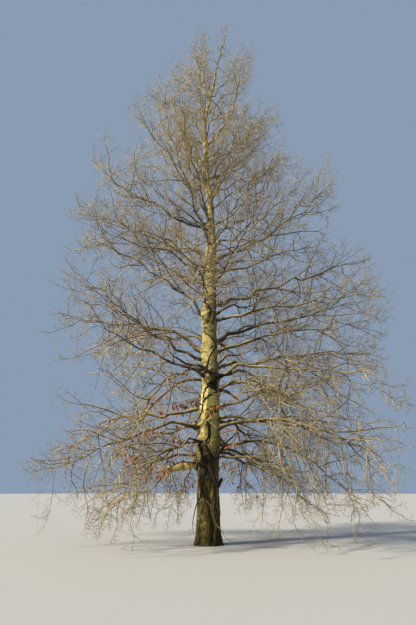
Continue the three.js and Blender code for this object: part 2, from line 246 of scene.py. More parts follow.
# The limbs leave the trunk singly, the low ones drooping, the middle ones level and the upper ones climbing.
# Each is one tapering stem of smooth bark, thickened into a collar where it grows out of the trunk.
LIMB_STEPS = 8
LIMB_SLENDERNESS = 0.0115
SLIMMER_ABOVE = 0.6  # a top limb's share of a low one's thickness
LIMB_TAPER = 0.85
COLLAR = 1.6
LESSER_COLLAR = 1.7
LIMB_WOBBLE = 0.34
TOP_PLACE = 99  # of the top's seed, and the next of the broken limb's
BROKEN_PLACE = 77
BROKEN_LIMB = (2.3, 189, 1.4, (-2, -14, -13))
BROKEN_STEPS = 4
# Each limb's name, the height where it leaves the trunk, its bearing, its length, and its rise above level at
# its foot, middle and tip. The broken limb has no name here.
SHOWN_LIMBS = [
    ("right_01", 3.3, 314, 6.6, (16, -12, -44)),
    ("right_02", 4.45, 12, 5.6, (42, -25, -57)),
    ("right_03", 4.73, 333, 6.0, (36, -13, -21)),
    ("right_04", 5.33, 4, 6.3, (10, 3, 6)),
    ("right_05", 5.78, 350, 5.7, (25, 6, 11)),
    ("right_06", 6.12, 24, 7.1, (25, 21, 12)),
    ("right_07", 7.01, 338, 5.8, (10, 7, 7)),
    ("right_08", 7.72, 8, 6.6, (20, 19, 7)),
    ("right_09", 9.31, 350, 5.7, (13, 35, 38)),
    ("right_10", 10.1, 338, 4.2, (58, 44, 0)),
    ("right_11", 11.78, 24, 6.1, (87, 59, 66)),
    ("right_12", 14.45, 10, 6.1, (48, 75, 52)),
    ("left_01", 2.85, 214, 4.4, (14, -40, -34)),
    ("left_02", 3.9, 160, 6.5, (6, -14, -34)),
    ("left_03", 5.4, 222, 4.8, (12, -50, -46)),
    ("left_04", 5.66, 192, 5.7, (3, 36, 28)),
    ("left_05", 5.84, 166, 6.7, (50, 8, 25)),
    ("left_06", 7.11, 171, 6.3, (54, 41, 26)),
    ("left_07", 8.77, 186, 5.5, (53, 23, 2)),
    ("left_08", 10.43, 175, 6.4, (25, 36, 59)),
    ("left_09", 10.97, 196, 5.6, (75, 49, 72)),
    ("left_10", 13.78, 160, 5.0, (31, 68, 40)),
    ("left_11", 14.55, 196, 3.5, (9, 58, -38)),
    ("left_leader", 15.74, 184, 4.5, (69, 95, 85)),
]
CROWN_REACH = 7.0
CROWN_END = 21.3
HIDDEN_HEIGHTS = [2.45, 3.6, 4.7, 6.1, 7.3, 8.5, 10.75, 12.2, 13.6]
HIDDEN_SIDES = [("near", 270), ("far", 90)]
HIDDEN_SCATTER = 60
GOLDEN_SHARE = 0.618
GOLDEN_ANGLE = 137.5
HIDDEN_LENGTH = 1.02  # of the crown's reach
HIDDEN_RISE = ((-6, 4.2, 80), (-70, 11.5, 66))
# Those that leave the trunk's near face show end on: their bearing, length and rise.
END_ON = {
    "near_01": (268, 3.0, (10, 2, -16)), "near_02": (304, 5.4, (-4, -16, -40)),
    "near_03": (262, 5.0, (8, -4, -20)),
}


def crown_reach(height):
    """How far the crown reaches from the trunk at a height."""
    return CROWN_REACH * (1 - (height / CROWN_END) ** 2)


def ruled_rise(height, foot, tip):
    """A limb's rise at foot, middle and tip, which grows with the height where it leaves the trunk. Foot and
    tip each give the rise at the ground, its growth in each metre, and the most."""
    foot, tip = (min(low + growth * height, most) for low, growth, most in (foot, tip))
    return foot, (foot + tip) / 2, tip


def hidden_limbs():
    """The limbs of the near and far sides, whose length and rise go by their height."""
    for i, height in enumerate(HIDDEN_HEIGHTS):
        side, bearing = HIDDEN_SIDES[i % 2]
        scatter = HIDDEN_SCATTER * ((GOLDEN_SHARE * i + 0.5) % 1 - 0.5)
        name = f"{side}_0{i // 2 + 1}"
        ruled = (bearing + scatter, HIDDEN_LENGTH * crown_reach(height), ruled_rise(height, *HIDDEN_RISE))
        yield name, height, *END_ON.get(name, ruled)


def limb_line(height, bearing, length, rise, seed, steps):
    """A limb's centre line from the trunk's own centre outwards, with a small turn at each step."""
    i = np.arange(steps)
    share = (i + 0.5) / steps
    foot, middle, tip = rise
    climb = (1 - share) * (foot * (1 - 2 * share) + middle * 4 * share) + tip * share * (2 * share - 1)
    climb = np.radians(climb) + LIMB_WOBBLE * swing(seed, 2 * i)
    turn = math.radians(bearing) + LIMB_WOBBLE * swing(seed, 2 * i + 1)
    ways = np.stack([np.cos(climb) * np.cos(turn), np.cos(climb) * np.sin(turn), np.sin(climb)], axis=1)
    start = trunk_centre(height)
    return np.concatenate([[start], start + np.cumsum(ways, 0) * length / steps])


LIMBS = [*SHOWN_LIMBS, *hidden_limbs()]
limb_names = [limb[0] for limb in LIMBS] + ["top"]
limb_seeds = [scramble(SEED, i) for i in range(len(LIMBS))] + [scramble(SEED, TOP_PLACE)]
top_line = trunk_centre(np.linspace(TRUNK_TOP, TREE_HEIGHT, LIMB_STEPS + 1))
limbs = SimpleNamespace(
    rule=np.array([
        *(limb_line(*limb[1:], seed, LIMB_STEPS) for limb, seed in zip(LIMBS, limb_seeds)), top_line,
    ]),
    length=np.array([*(limb[3] for limb in LIMBS), TREE_HEIGHT - TRUNK_TOP]),
    seed=np.array(limb_seeds),
    limb=np.arange(len(limb_names)),
)
limbs.foot = limbs.length * LIMB_SLENDERNESS * mixed(1, SLIMMER_ABOVE, limbs.rule[:, 0, 2] / TREE_HEIGHT)
limbs.foot[-1] = trunk_radius(TRUNK_TOP)
broken_rule = limb_line(*BROKEN_LIMB, scramble(SEED, BROKEN_PLACE), BROKEN_STEPS)


# Smaller limbs stand between the limbs, all the way up the trunk. First come those placed one by one: what
# the photo shows between its main limbs, and others that keep the low crown as full at the back.
LESSER_STEPS = 6
LESSER_SEED = 301
LESSER_PLACED = [
    (11.9, 350, 2.8, (51, 60, 39)), (8.5, 300, 2.6, (85, 67, 73)), (8.3, 330, 2.1, (20, -6, 18)),
    (9.5, 20, 2.7, (27, 27, 31)), (12.7, 220, 1.2, (-1, -13, -24)), (12.65, 185, 2.4, (45, 40, 24)),
    (13.4, 190, 3.2, (58, 63, 51)), (14.4, 170, 3.6, (76, 69, 67)), (15.9, 340, 2.6, (52, 30, 68)),
    (13.4, 15, 4.2, (44, 54, 53)), (12.95, 330, 2.8, (60, 74, 70)), (9.9, 230, 2.0, (47, 73, 56)),
    (6.9, 215, 2.2, (46, 16, 0)), (8.3, 230, 1.4, (-12, -35, -59)), (7.7, 335, 1.9, (0, -1, -4)),
    (8.25, 310, 1.8, (65, 84, 86)), (8.9, 200, 2.0, (19, 24, 1)), (16.5, 20, 3.2, (66, 63, 73)),
    (16.0, 200, 2.8, (64, 60, 80)), (8.6, 196, 5.0, (30, 20, 20)), (9.5, 168, 4.6, (26, 28, 34)),
    (10.3, 208, 3.8, (38, 34, 40)), (8.95, 12, 4.6, (20, 24, 26)), (9.75, 346, 4.2, (28, 32, 36)),
    (10.7, 6, 3.8, (36, 40, 44)), (11.5, 2, 3.8, (38, 40, 46)), (12.5, 12, 3.4, (42, 46, 52)),
    (13.6, 354, 2.9, (44, 52, 56)), (2.35, 214, 3.4, (4, -30, -52)), (2.7, 172, 4.4, (0, -22, -46)),
    (3.1, 238, 4.4, (4, -26, -48)), (3.45, 196, 5.2, (2, -20, -44)), (2.5, 336, 4.2, (2, -26, -50)),
    (3.0, 356, 5.2, (2, -20, -46)), (3.7, 318, 5.2, (6, -18, -46)), (2.8, 30, 4.6, (0, -22, -48)),
    (3.3, 70, 4.6, (2, -22, -46)), (2.6, 110, 4.2, (0, -24, -50)), (3.5, 140, 5.0, (2, -20, -46)),
]  # height, bearing, length and rise
LESSER_IN_GAPS = [(12.9, 352, 4.0, (30, 40, 50)), (12.2, 8, 3.6, (26, 34, 42)), (10.9, 184, 3.4, (8, 14, 20))]
LESSER_HEIGHTS = np.linspace(2.6, 17.2, 26)
LONGEST_LESSER = 5.6
LESSER_BEARING = 40  # the first ruled one's
LESSER_LENGTH = (0.36, 0.92)  # shares of the crown's reach at that height: to the sides, and near or far
LESSER_VARIETY = (0.82, 1.05)
LESSER_LONGER = 0.5  # metres added to each
LESSER_RISE = ((-2, 4.6, 72), (-55, 10.5, 66))


def lesser_limbs():
    """The smaller limbs in rows: those placed one by one, others by a rule, and those in the gaps."""
    yield from LESSER_PLACED
    for i, height in enumerate(LESSER_HEIGHTS):
        bearing = (LESSER_BEARING + GOLDEN_ANGLE * i) % 360
        share = mixed(*LESSER_LENGTH, abs(math.sin(math.radians(bearing))))
        share = share * mixed(*LESSER_VARIETY, (GOLDEN_SHARE * i) % 1)
        length = min(share * crown_reach(height) + LESSER_LONGER, LONGEST_LESSER)
        yield height, bearing, length, ruled_rise(height, *LESSER_RISE)
    yield from LESSER_IN_GAPS


rows = list(lesser_limbs())
lesser = SimpleNamespace(
    rule=np.array([limb_line(*row, scramble(LESSER_SEED, i), LESSER_STEPS) for i, row in enumerate(rows)]),
    length=np.array([row[2] for row in rows]),
    seed=np.array([scramble(LESSER_SEED, i) for i in range(len(rows))]),
)
lesser.foot = lesser.length * LIMB_SLENDERNESS * mixed(1, SLIMMER_ABOVE, lesser.rule[:, 0, 2] / TREE_HEIGHT)


def owner(point):
    """The limb whose twigs take in a place of the crown: the one with the nearest line."""
    return np.linalg.norm(limbs.rule - point, axis=-1).min(axis=1).argmin()


lesser.limb = np.array([owner(line[LESSER_STEPS // 2]) for line in lesser.rule])


def smooth_line(rule, parts):
    """Each line of a set with every step cut in parts, on a smooth curve through its points."""
    before = np.concatenate([2 * rule[:, :1] - rule[:, 1:2], rule[:, :-1]], axis=1)
    after = np.concatenate([rule[:, 1:], 2 * rule[:, -1:] - rule[:, -2:-1]], axis=1)
    slope = (after - before) / 2
    t = (np.arange(parts) / parts)[None, None, :, None]
    line = curve(t, rule[:, :-1, None], rule[:, 1:, None], slope[:, :-1, None], slope[:, 1:, None])
    return np.concatenate([line.reshape(len(rule), -1, 3), rule[:, -1:]], axis=1)


GNARL_PLACE = 500


def gnarled(line, seed, depth, knot):
    """Each line of a set moved off itself by smooth random steps, each of which spans a knot of points. The
    depth is the whole width of the steps, in metres."""
    count = line.shape[1]
    stations = np.arange(math.ceil(count / knot) + 1)
    push = np.stack([swing(seed[:, None], GNARL_PLACE + 3 * stations + axis) for axis in range(3)], axis=-1)
    push[:, 0] = 0
    place = np.arange(count) / knot
    i = place.astype(int)
    t = (place - i)[None, :, None]
    return line + depth * (push[:, i] * (1 - t) + push[:, i + 1] * t)


def thickness(stems, share, tip):
    """Radii along stems: from the foot's to a thin tip."""
    return tip + (stems.foot[:, None] - tip) * (1 - share) ** LIMB_TAPER


def skeleton_mesh(name, sets):
    """A mesh of edges alone, which holds sets of lines with the thickness at each of their points."""
    points = np.concatenate([line.reshape(-1, 3) for line, thick in sets])
    radii = np.concatenate([thick.ravel() for line, thick in sets])
    edges, start = [], 0
    for line, thick in sets:
        index = start + np.arange(line.shape[0] * line.shape[1]).reshape(line.shape[:2])
        edges.append(np.stack([index[:, :-1].ravel(), index[:, 1:].ravel()], axis=1))
        start += index.size
    edges = np.concatenate(edges)
    mesh = bpy.data.meshes.new(name)
    mesh.vertices.add(len(points))
    mesh.vertices.foreach_set("co", points.astype(np.float32).ravel())
    mesh.edges.add(len(edges))
    mesh.edges.foreach_set("vertices", edges.astype(np.int32).ravel())
    mesh.attributes.new("thickness", "FLOAT", "POINT").data.foreach_set("value", radii.astype(np.float32))
    mesh.update()
    return placed(name, mesh)


# The paler side of a stem faces this way, towards the light, and the side turned from it gets painted shade.
PAINTED_LIGHT_SIDE = (-0.42, -0.12, 0.90)  # the way that the paler side of a stem faces
WELD = 0.0002  # metres within which points of a closed tube are joined


def shaping_tree(name, inputs):
    """A tree of Geometry Nodes, and a tone for each of its inputs, given as name, kind and value."""
    tree = bpy.data.node_groups.new(name, "GeometryNodeTree")
    for given, kind, value in inputs:
        socket = tree.interface.new_socket(given, in_out="INPUT", socket_type=f"NodeSocket{kind}")
        if value is not None:
            socket.default_value = value
    tree.interface.new_socket("Made", in_out="OUTPUT", socket_type="NodeSocketGeometry")
    start = tree.nodes.new("NodeGroupInput")
    return tree, *(Tone(tree, start.outputs[i]) for i in range(len(inputs)))


def shaped(tree, made, finish):
    """Ends a tree with what it has made, realized and in a finish."""
    realized = made.node("GeometryNodeRealizeInstances", {}, {0: made})
    dressed = made.node("GeometryNodeSetMaterial", {}, {0: realized, "Material": finish})
    tree.links.new(dressed.socket, tree.nodes.new("NodeGroupOutput").inputs[0])
    return tree


def stem_nodes():
    """Geometry Nodes that turn lines with a thickness into stems covered in bark of a given relief."""
    tree, lines, sides, relief, scale, bark = shaping_tree("stems", [
        ("Lines", "Geometry", None), ("Sides", "Int", 8), ("Relief", "Float", 0.0),
        ("Relief Scale", "Float", 8.0), ("Bark", "Material", None),
    ])
    thick = lines.node("GeometryNodeInputNamedAttribute", {"data_type": "FLOAT"}, {"Name": "thickness"})
    curves = lines.node("GeometryNodeMeshToCurve", {}, {0: lines})
    ring = lines.node("GeometryNodeCurvePrimitiveCircle", {}, {"Resolution": sides, "Radius": 1.0})
    tubes = lines.node("GeometryNodeCurveToMesh", {}, {0: curves, 1: ring, "Scale": thick, "Fill Caps": True})
    closed = lines.node("GeometryNodeMergeByDistance", {}, {0: tubes, "Distance": WELD})
    outwards = lines.node("GeometryNodeInputNormal")
    rough = lines.node("GeometryNodeInputPosition").noise(scale, 4.0) - 0.5
    push = lines.node(
        "ShaderNodeVectorMath", {"operation": "SCALE"}, {0: outwards, "Scale": rough * relief * thick},
    )
    barked = lines.node("GeometryNodeSetPosition", {}, {0: closed, "Offset": push})
    # Each point stores how far it faces the light; bark finishes paint shade on the side turned from it.
    facing = lines.node(
        "ShaderNodeVectorMath", {"operation": "DOT_PRODUCT"}, {0: outwards, 1: PAINTED_LIGHT_SIDE}, out=1,
    )
    sided = lines.node(
        "GeometryNodeStoreNamedAttribute", {"data_type": "FLOAT", "domain": "POINT"},
        {0: barked, "Name": "weathered", "Value": facing},
    )
    return shaped(tree, sided, bark)


def made_solid(name, skeleton, tree, **inputs):
    """The plain mesh that a node tree makes of a skeleton, as a finished piece. An underscore in an input's
    name stands for a space."""
    modifier = skeleton.modifiers.new("grown", "NODES")
    modifier.node_group = tree
    for item in tree.interface.items_tree:
        given = item.name.replace(" ", "_")
        if item.in_out == "INPUT" and given in inputs:
            modifier[item.identifier] = inputs[given]
    scene.view_layers[0].update()
    grown_mesh = skeleton.evaluated_get(bpy.context.evaluated_depsgraph_get())
    mesh = bpy.data.meshes.new_from_object(grown_mesh)
    bpy.data.objects.remove(skeleton)
    mesh.name = name
    mesh.shade_smooth()
    return placed(name, mesh)


STEMS = stem_nodes()


def fresh_finish(name):
    """A new finish, and the place of each of its points."""
    finish = bpy.data.materials.new(name)
    finish.use_nodes = True
    return finish, Tone(finish.node_tree).node("ShaderNodeTexCoord", out=3)


def covered(finish, colour, rough, shine, grain, depth):
    """Leads a colour, a roughness and a grain, as deep as depth in metres, to a finish's shader."""
    inputs = finish.node_tree.nodes["Principled BSDF"].inputs
    bump = grain.node("ShaderNodeBump", {}, {"Height": grain, "Distance": depth, "Strength": 0.8})
    for name, tone in (("Base Color", colour), ("Roughness", rough), ("Normal", bump)):
        finish.node_tree.links.new(tone.socket, inputs[name])
    inputs["Specular IOR Level"].default_value = shine
    return finish


def bark_finish(name, lit, shaded, spots, scale, depth, painted_underside_shade=None, turned=(0.42, -0.25)):
    """Bark with soft patches of two tones, darker specks, a grain that stands up, and painted shade on the
    side turned from the light where a colour is given for it. The painted shade is fainter high in the crown."""
    finish, place = fresh_finish(name)
    patches = place.noise(scale, 4.0).between(0.38, 0.62)
    specks = place.noise(scale * 9, 2.0).between(0.56, 0.70)
    colour = place.plain(lit).mixed(patches, shaded).mixed(specks * 0.7, spots)
    if painted_underside_shade:
        # Painted shade on the side turned from the light, fainter high in the crown.
        low = place.height().between(14.0, 8.0) * 0.6 + 0.4
        colour = colour.mixed(place.stored("weathered").between(*turned) * low, painted_underside_shade)
    return covered(finish, colour, 0.92 - specks * 0.1, 0.25, place.noise(scale * 30), depth)


# The trunk's bark.
TRUNK_RINGS = 880
TRUNK_SIDES = 96
CLOSER_LOW = 0.45  # how far the rings crowd towards the ground
TRUNK_TIP = 18.03
SHED_SCARS = [
    (4.92, 207, 0.10), (7.19, 299, 0.09), (6.81, 281, 0.09), (6.88, 224, 0.12), (9.3, 276, 0.12),
    (5.17, 327, 0.10), (3.59, 260, 0.06), (2.87, 257, 0.07), (4.19, 230, 0.06), (10.13, 246, 0.06),
    (11.86, 256, 0.05), (1.32, 237, 0.06), (2.2, 20, 0.08), (3.1, 80, 0.10), (1.6, 130, 0.07),
    (5.6, 60, 0.09),
    (4.2, 120, 0.08), (7.9, 100, 0.08), (6.3, 40, 0.07), (9.0, 60, 0.07), (8.4, 130, 0.06), (10.9, 80, 0.06),
    (12.9, 200, 0.05), (13.8, 300, 0.05),
]  # height, bearing and size


def grain(places, seed, octaves):
    """Soft random relief from about -1 to 1 at places, each octave twice as fine and half as deep. No two
    patterns have the same seed."""
    total = 0
    for octave in range(octaves):
        place = places * 2**octave
        cell = np.floor(place).astype(np.int64)
        t = place - cell
        t = t * t * (3 - 2 * t)
        for corner in itertools.product((0, 1), repeat=3):
            at = cell + corner
            value = seed + octave
            for axis in range(3):
                value = scramble(value, at[..., axis])
            value = value / 2**31 - 1
            total = total + value * np.prod(np.where(corner, t, 1 - t), axis=-1) / 2**octave
    return total


def around(height, angle, spot_height, spot_angle, size):
    """How far each place of the trunk is to the side of a spot and above it, in sizes of the spot."""
    aside = (angle - spot_angle + math.pi) % math.tau - math.pi
    return aside * trunk_radius(spot_height) / size, (height - spot_height) / size


def around_stem(radius, height, angle):
    """Points of a round upright stem."""
    return np.stack([radius * np.cos(angle), radius * np.sin(angle), height], axis=-1)


# Hollows between the roots' ridges: bearing, depth, half width and top. Each weaves upwards and fades out.
LOW_VALLEYS = [
    (283, 0.040, 0.055, 1.9), (236, 0.022, 0.040, 1.3), (18, 0.034, 0.05, 1.6), (75, 0.03, 0.05, 1.4),
    (128, 0.036, 0.055, 1.8), (172, 0.026, 0.045, 1.3),
]
VALLEY_WEAVE = 9  # degrees
VALLEY_FADE = 0.9
# Swollen knots, darkened by painted shade, that the crossing branches spring from: height, bearing and size.
KNOTS = [
    (2.30, 266, 0.20), (5.10, 300, 0.15), (4.80, 292, 0.12), (7.25, 282, 0.12), (6.95, 262, 0.09),
    (7.5, 255, 0.08), (9.35, 265, 0.07),
]
# Each named limb's and smaller limb's line and foot, round which the trunk's bark swells and gets painted
# shade.
COLLARS = list(zip([*limbs.rule[:-1], *lesser.rule], [*limbs.foot[:-1], *lesser.foot]))


def low_valleys(height, angle, radius):
    """How deep each place of a trunk of that radius lies in each hollow between the roots' ridges."""
    for bearing, depth, wide, top in LOW_VALLEYS:
        weave = np.radians(bearing + VALLEY_WEAVE * np.sin(3.1 * height + bearing))
        aside = (angle - weave + math.pi) % math.tau - math.pi
        yield depth * np.exp(-((aside * radius / wide) ** 2)) * np.clip((top - height) / VALLEY_FADE, 0, 1)


def knot_gap(height, angle, knot):
    """How far each place of the trunk is from a knot's middle, in sizes of the knot, with an uneven edge."""
    x, y = around(height, angle, knot[0], math.radians(knot[1]), knot[2])
    skin = around_stem(1, height, angle)
    return np.hypot(x + 0.35 * grain(skin * 5, 71, 2), 0.8 * y + 0.35 * grain(skin * 5, 72, 2))


# The bark's relief. Depths are in metres, and those of collars, scars and knots in their sizes.
FURROWED_BELOW = 3.4
FURROWED_FULLY = 2.6  # metres further down
SWELLINGS = 0.024
FURROWS = 0.030
FURROW_WEAVE = 0.09
WRINKLES = 0.010
ROUGHNESS = (0.0035, 0.010, 0.004)  # all over, low on the trunk, and fine
COLLAR_SIZE = 1.9  # of the limb's foot
COLLAR_SWELL, COLLAR_CREASE, COLLAR_RINGS = 0.5, 0.10, 0.05
SCAR_RIM, SCAR_DIP = 0.30, 0.16
KNOT_SWELL, KNOT_GROOVE = 0.42, 0.10


def trunk_relief(height, angle):
    """The bark's relief, outwards in metres."""
    radius = trunk_radius(height)
    skin = around_stem(radius, height, angle)
    low = np.clip((FURROWED_BELOW - height) / FURROWED_FULLY, 0, 1)
    scale = radius / TRUNK_GIRTH[0, 1]
    # Broad swellings, then upright furrows that weave and come and go.
    relief = SWELLINGS * scale * grain(skin * (3.0, 3.0, 1.1), 61, 2)
    bent = skin + FURROW_WEAVE * grain(skin * (3.0, 3.0, 4.0), 68, 2)[..., None]
    furrows = 1 - np.abs(grain(bent * (8, 8, 1.7), 62, 3))
    deep = np.clip(0.25 + grain(skin * (1.7, 1.7, 1.3), 69, 2), 0, 1)
    relief -= low * deep * FURROWS * np.clip(furrows - 0.66, 0, 1) / 0.34
    for valley in low_valleys(height, angle, radius):
        relief -= valley
    # Level wrinkles in patches higher up, and a fine roughness all over, coarser near the ground.
    wrinkles = grain(skin * (3.5, 3.5, 15), 63, 3)
    patches = np.clip(0.35 + grain(skin * (2.2, 2.2, 1.0), 64, 2), 0, 1)
    relief += (1 - 0.6 * low) * WRINKLES * scale * wrinkles * patches
    rough, rough_low, fine = ROUGHNESS
    relief += rough * grain(skin * (30, 30, 22), 65, 2)
    relief += low * rough_low * grain(bent * (11, 11, 4.5), 73, 3) + fine * grain(skin * (16, 16, 9), 74, 2)
    # A collar round each limb, with a crease over it and rings of wrinkles below.
    for line, foot in COLLARS:
        start = line[0]
        way = line[1] - line[0]
        side = math.atan2(way[1], way[0])
        rise = math.tan(min(math.asin(way[2] / np.linalg.norm(way)), 1.3))
        out_at = start[2] + trunk_radius(start[2]) * rise
        size = COLLAR_SIZE * foot
        x, y = around(height, angle, out_at, side, size)
        gap = np.hypot(x, np.where(y < 0, 0.6, 1.0) * y)
        relief += COLLAR_SWELL * size * np.exp(-0.9 * gap**2)
        ridge = np.exp(-((gap - 1.9 - 0.3 * np.abs(x)) / 0.22) ** 2) * (y > 0)
        relief -= COLLAR_CREASE * size * ridge
        relief += COLLAR_RINGS * size * np.cos(7 * gap) * np.exp(-0.25 * gap**2) * np.clip(-y, 0, 1)
    # Scars of shed limbs are rims around a dip, and knots are swellings with a groove round them.
    for spot_height, bearing, size in SHED_SCARS:
        x, y = around(height, angle, spot_height, math.radians(bearing), size)
        x = x + 0.45 * grain(skin * 9, 66, 2)
        y = y + 0.45 * grain(skin * 9, 67, 2)
        gap = np.hypot(x, 1.25 * y)
        rim, dip = np.exp(-((gap - 0.8) / 0.6) ** 2), np.exp(-((gap / 0.35) ** 2))
        relief += size * (SCAR_RIM * rim - SCAR_DIP * dip)
    for knot in KNOTS:
        gap = knot_gap(height, angle, knot)
        groove = np.exp(-(((gap - 1.1) / 0.16) ** 2))
        relief += knot[2] * (KNOT_SWELL * np.exp(-(gap**2)) - KNOT_GROOVE * groove)
    return relief


def painted_shade_under_collars(height, angle):
    """How much painted shade darkens the bark around and below the limbs' collars, from 0 to 1."""
    dark = np.zeros(height.shape)
    skin = around_stem(1, height, angle)
    uneven = np.clip(0.55 + 0.6 * grain(skin * (4, 4, 6), 75, 3), 0, 1)
    for line, foot in COLLARS:
        way = line[1] - line[0]
        x, y = around(height, angle, line[0, 2], math.atan2(way[1], way[0]), 2.2 * foot)
        gap = np.hypot(x, np.where(y < 0, 0.5, 1.1) * (y + 0.6))
        dark = np.maximum(dark, np.exp(-0.7 * gap**2) * np.clip(foot / 0.05, 0, 1))
    return dark * uneven


# How dark the bark is, from 0 to 1: painted shade where it lies lower than the bark around it, and blotches,
# by height.
TOP_FADE = 0.3  # metres in which the relief dies away under the trunk's top
DARKER_BELOW = 3.6
DARKER_FULLY = 1.6  # metres further down
SMOOTHED = ((0, 5), (1, 3))  # rings and sides each way, over which the bark around is taken
DENT = 0.0015
DARK_DENT = (0.013, 0.008)  # high and low on the trunk
DARKEST = 0.85
COLLAR_SHADE = 0.6


def trunk_mesh():
    """The trunk as rings of points, closed at the foot and at the top."""
    share = np.arange(TRUNK_RINGS) / (TRUNK_RINGS - 1)
    height = TRUNK_TIP * ((1 - CLOSER_LOW) * share + CLOSER_LOW * share**2)
    height, angle = np.meshgrid(height, np.arange(TRUNK_SIDES) * math.tau / TRUNK_SIDES, indexing="ij")
    relief = trunk_relief(height, angle)
    relief *= np.clip((TRUNK_TIP - height) / TOP_FADE, 0, 1)
    # Dark blotches, painted shade under the limbs' collars, at the knots and in low hollows, as well as in
    # dents.
    mean = relief
    for axis, reach in SMOOTHED:
        mean = sum(np.roll(mean, i, axis) for i in range(-reach, reach + 1)) / (2 * reach + 1)
    low = np.clip((DARKER_BELOW - height) / DARKER_FULLY, 0, 1)
    painted_shade_and_blotches = np.clip((mean - relief - DENT) / mixed(*DARK_DENT, low), 0, DARKEST)
    blotches = grain(around_stem(trunk_radius(height), height, angle) * (5, 5, 2.2), 76, 4)
    painted_shade_and_blotches = np.maximum(painted_shade_and_blotches, np.clip(1.8 * blotches - mixed(1.15, 0.2, low), 0, 0.9))
    painted_shade_and_blotches = np.maximum(painted_shade_and_blotches, COLLAR_SHADE * painted_shade_under_collars(height, angle))
    for knot in KNOTS:
        painted_shade_and_blotches = np.maximum(painted_shade_and_blotches, np.clip(1.5 - knot_gap(height, angle, knot), 0, 1))
    for valley in low_valleys(height, angle, TRUNK_GIRTH[0, 1]):
        painted_shade_and_blotches = np.maximum(painted_shade_and_blotches, np.clip(16 * valley, 0, DARKEST))
    out = trunk_radius(height) + flare(height, angle) + relief
    points = trunk_centre(height) + around_stem(out, 0 * out, angle)
    points = np.concatenate([points.reshape(-1, 3), [(0, 0, 0), trunk_centre(TRUNK_TIP)]])
    index = np.arange(TRUNK_RINGS * TRUNK_SIDES).reshape(height.shape)
    beside = np.roll(index, -1, axis=1)
    sides = np.stack([index[:-1], beside[:-1], beside[1:], index[1:]], axis=-1).reshape(-1, 4)
    foot = [(beside[0, i], index[0, i], index.size) for i in range(TRUNK_SIDES)]
    top = [(index[-1, i], beside[-1, i], index.size + 1) for i in range(TRUNK_SIDES)]
    mesh = bpy.data.meshes.new("trunk_bark")
    mesh.from_pydata(points.tolist(), [], [*sides.tolist(), *foot, *top])
    # Stored for the finish: the painted shade and blotches, and how far each point faces the light on the
    # left.
    for name, values in (("painted_shade_and_blotches", painted_shade_and_blotches), ("weathered", -np.cos(angle))):
        shade = mesh.attributes.new(name, "FLOAT", "POINT")
        shade.data.foreach_set("value", np.append(values.ravel(), (0, 0)).astype(np.float32))
    mesh.shade_smooth()
    return mesh


def trunk_finish():
    """Olive bark, greyer and browner in patches, with dark creases and a band of painted light. Painted shade
    darkens its right side and, nearly black, its hollows, and damp and painted shadow darken its foot."""
    finish, place = fresh_finish("trunk_bark")
    banded = place.stretched(2.6)
    streaked = place.stretched(0.35)
    grey = place.noise(2.2, 4.0).between(0.46, 0.62)
    brown = banded.noise(4.5, 5.0).between(0.46, 0.66)
    flecks = banded.noise(16.0).between(0.52, 0.66)
    creases = place.stretched(4).noise(22.0, 4.0).between(0.54, 0.61)
    creased = creases * place.noise(3.0, 2.0).between(0.40, 0.55)
    height = place.height()
    # A band of painted light from 2.5 to 5.1 m high.
    pale = height.between(2.5, 3.3) * height.between(5.1, 4.5)
    # Painted shade on the trunk's right side, turned from the key light.
    shaded_side = place.stored("weathered").between(-0.25, -0.95)
    # Darker towards the foot: partly damp bark, partly painted shadow.
    damp_and_shadow = (place.noise(4.0, 4.0) * 1.6 + height * -1.0).between(-3.4, -0.9)
    # Nearly black painted shadow at the very foot.
    foot = (height + place.noise(7.0) * 0.5).between(1.15, 0.5)
    wet_and_shadowed = place.plain((0.26, 0.205, 0.06))
    wet_and_shadowed = wet_and_shadowed.mixed(streaked.noise(9.0, 4.0).between(0.42, 0.58), (0.038, 0.028, 0.009))
    wet_and_shadowed = wet_and_shadowed.mixed(streaked.noise(20.0, 4.0).between(0.48, 0.55) * 0.85, (0.014, 0.011, 0.005))
    colour = place.plain((0.56, 0.47, 0.175))
    for share, other in (
        (grey * 0.8, (0.58, 0.50, 0.24)), (brown * 0.85, (0.21, 0.165, 0.065)),
        (flecks * 0.7, (0.15, 0.115, 0.045)), (creased * 0.75, (0.07, 0.055, 0.025)),
        (pale * 0.85, (0.86, 0.72, 0.26)), (shaded_side * 0.75, (0.11, 0.085, 0.035)), (damp_and_shadow * 0.92, wet_and_shadowed),
        (foot * 0.72, (0.022, 0.017, 0.006)),
        # Nearly black painted shade in hollows, with dark blotches.
        (place.stored("painted_shade_and_blotches") * 0.95, (0.018, 0.013, 0.007)),
    ):
        colour = colour.mixed(share, other)
    return covered(finish, colour, 0.94 - brown * 0.1, 0.08, place.noise(70.0), 0.004)


trunk = trunk_mesh()
trunk.materials.append(trunk_finish())
trunk_piece = placed("trunk_bark", trunk)
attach(trunk_piece, "root")
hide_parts("trunk")

# The limbs' own lines, crooked, with their collars and lumps. The top has no collar.
LUMPS = 0.4  # of the radius, from thinnest to thickest
LUMPS_PLACE = 700


def give_girth(stems, parts, depth, knot, steps, slimmer, swell):
    """Cuts each step of some limbs in parts and gnarls it. Radii swell to a collar in the first step."""
    stems.line = gnarled(smooth_line(stems.rule, parts), stems.seed, depth, knot)
    share = np.linspace(0, 1, stems.line.shape[1])[None]
    stems.radii = thickness(stems, share, 0.0) * (1 - slimmer * share)
    stems.radii *= 1 + swell * np.clip(1 - share * steps, 0, 1) ** 1.5
    stems.radii *= 1 + LUMPS * swing(stems.seed[:, None], LUMPS_PLACE + np.arange(stems.line.shape[1]))


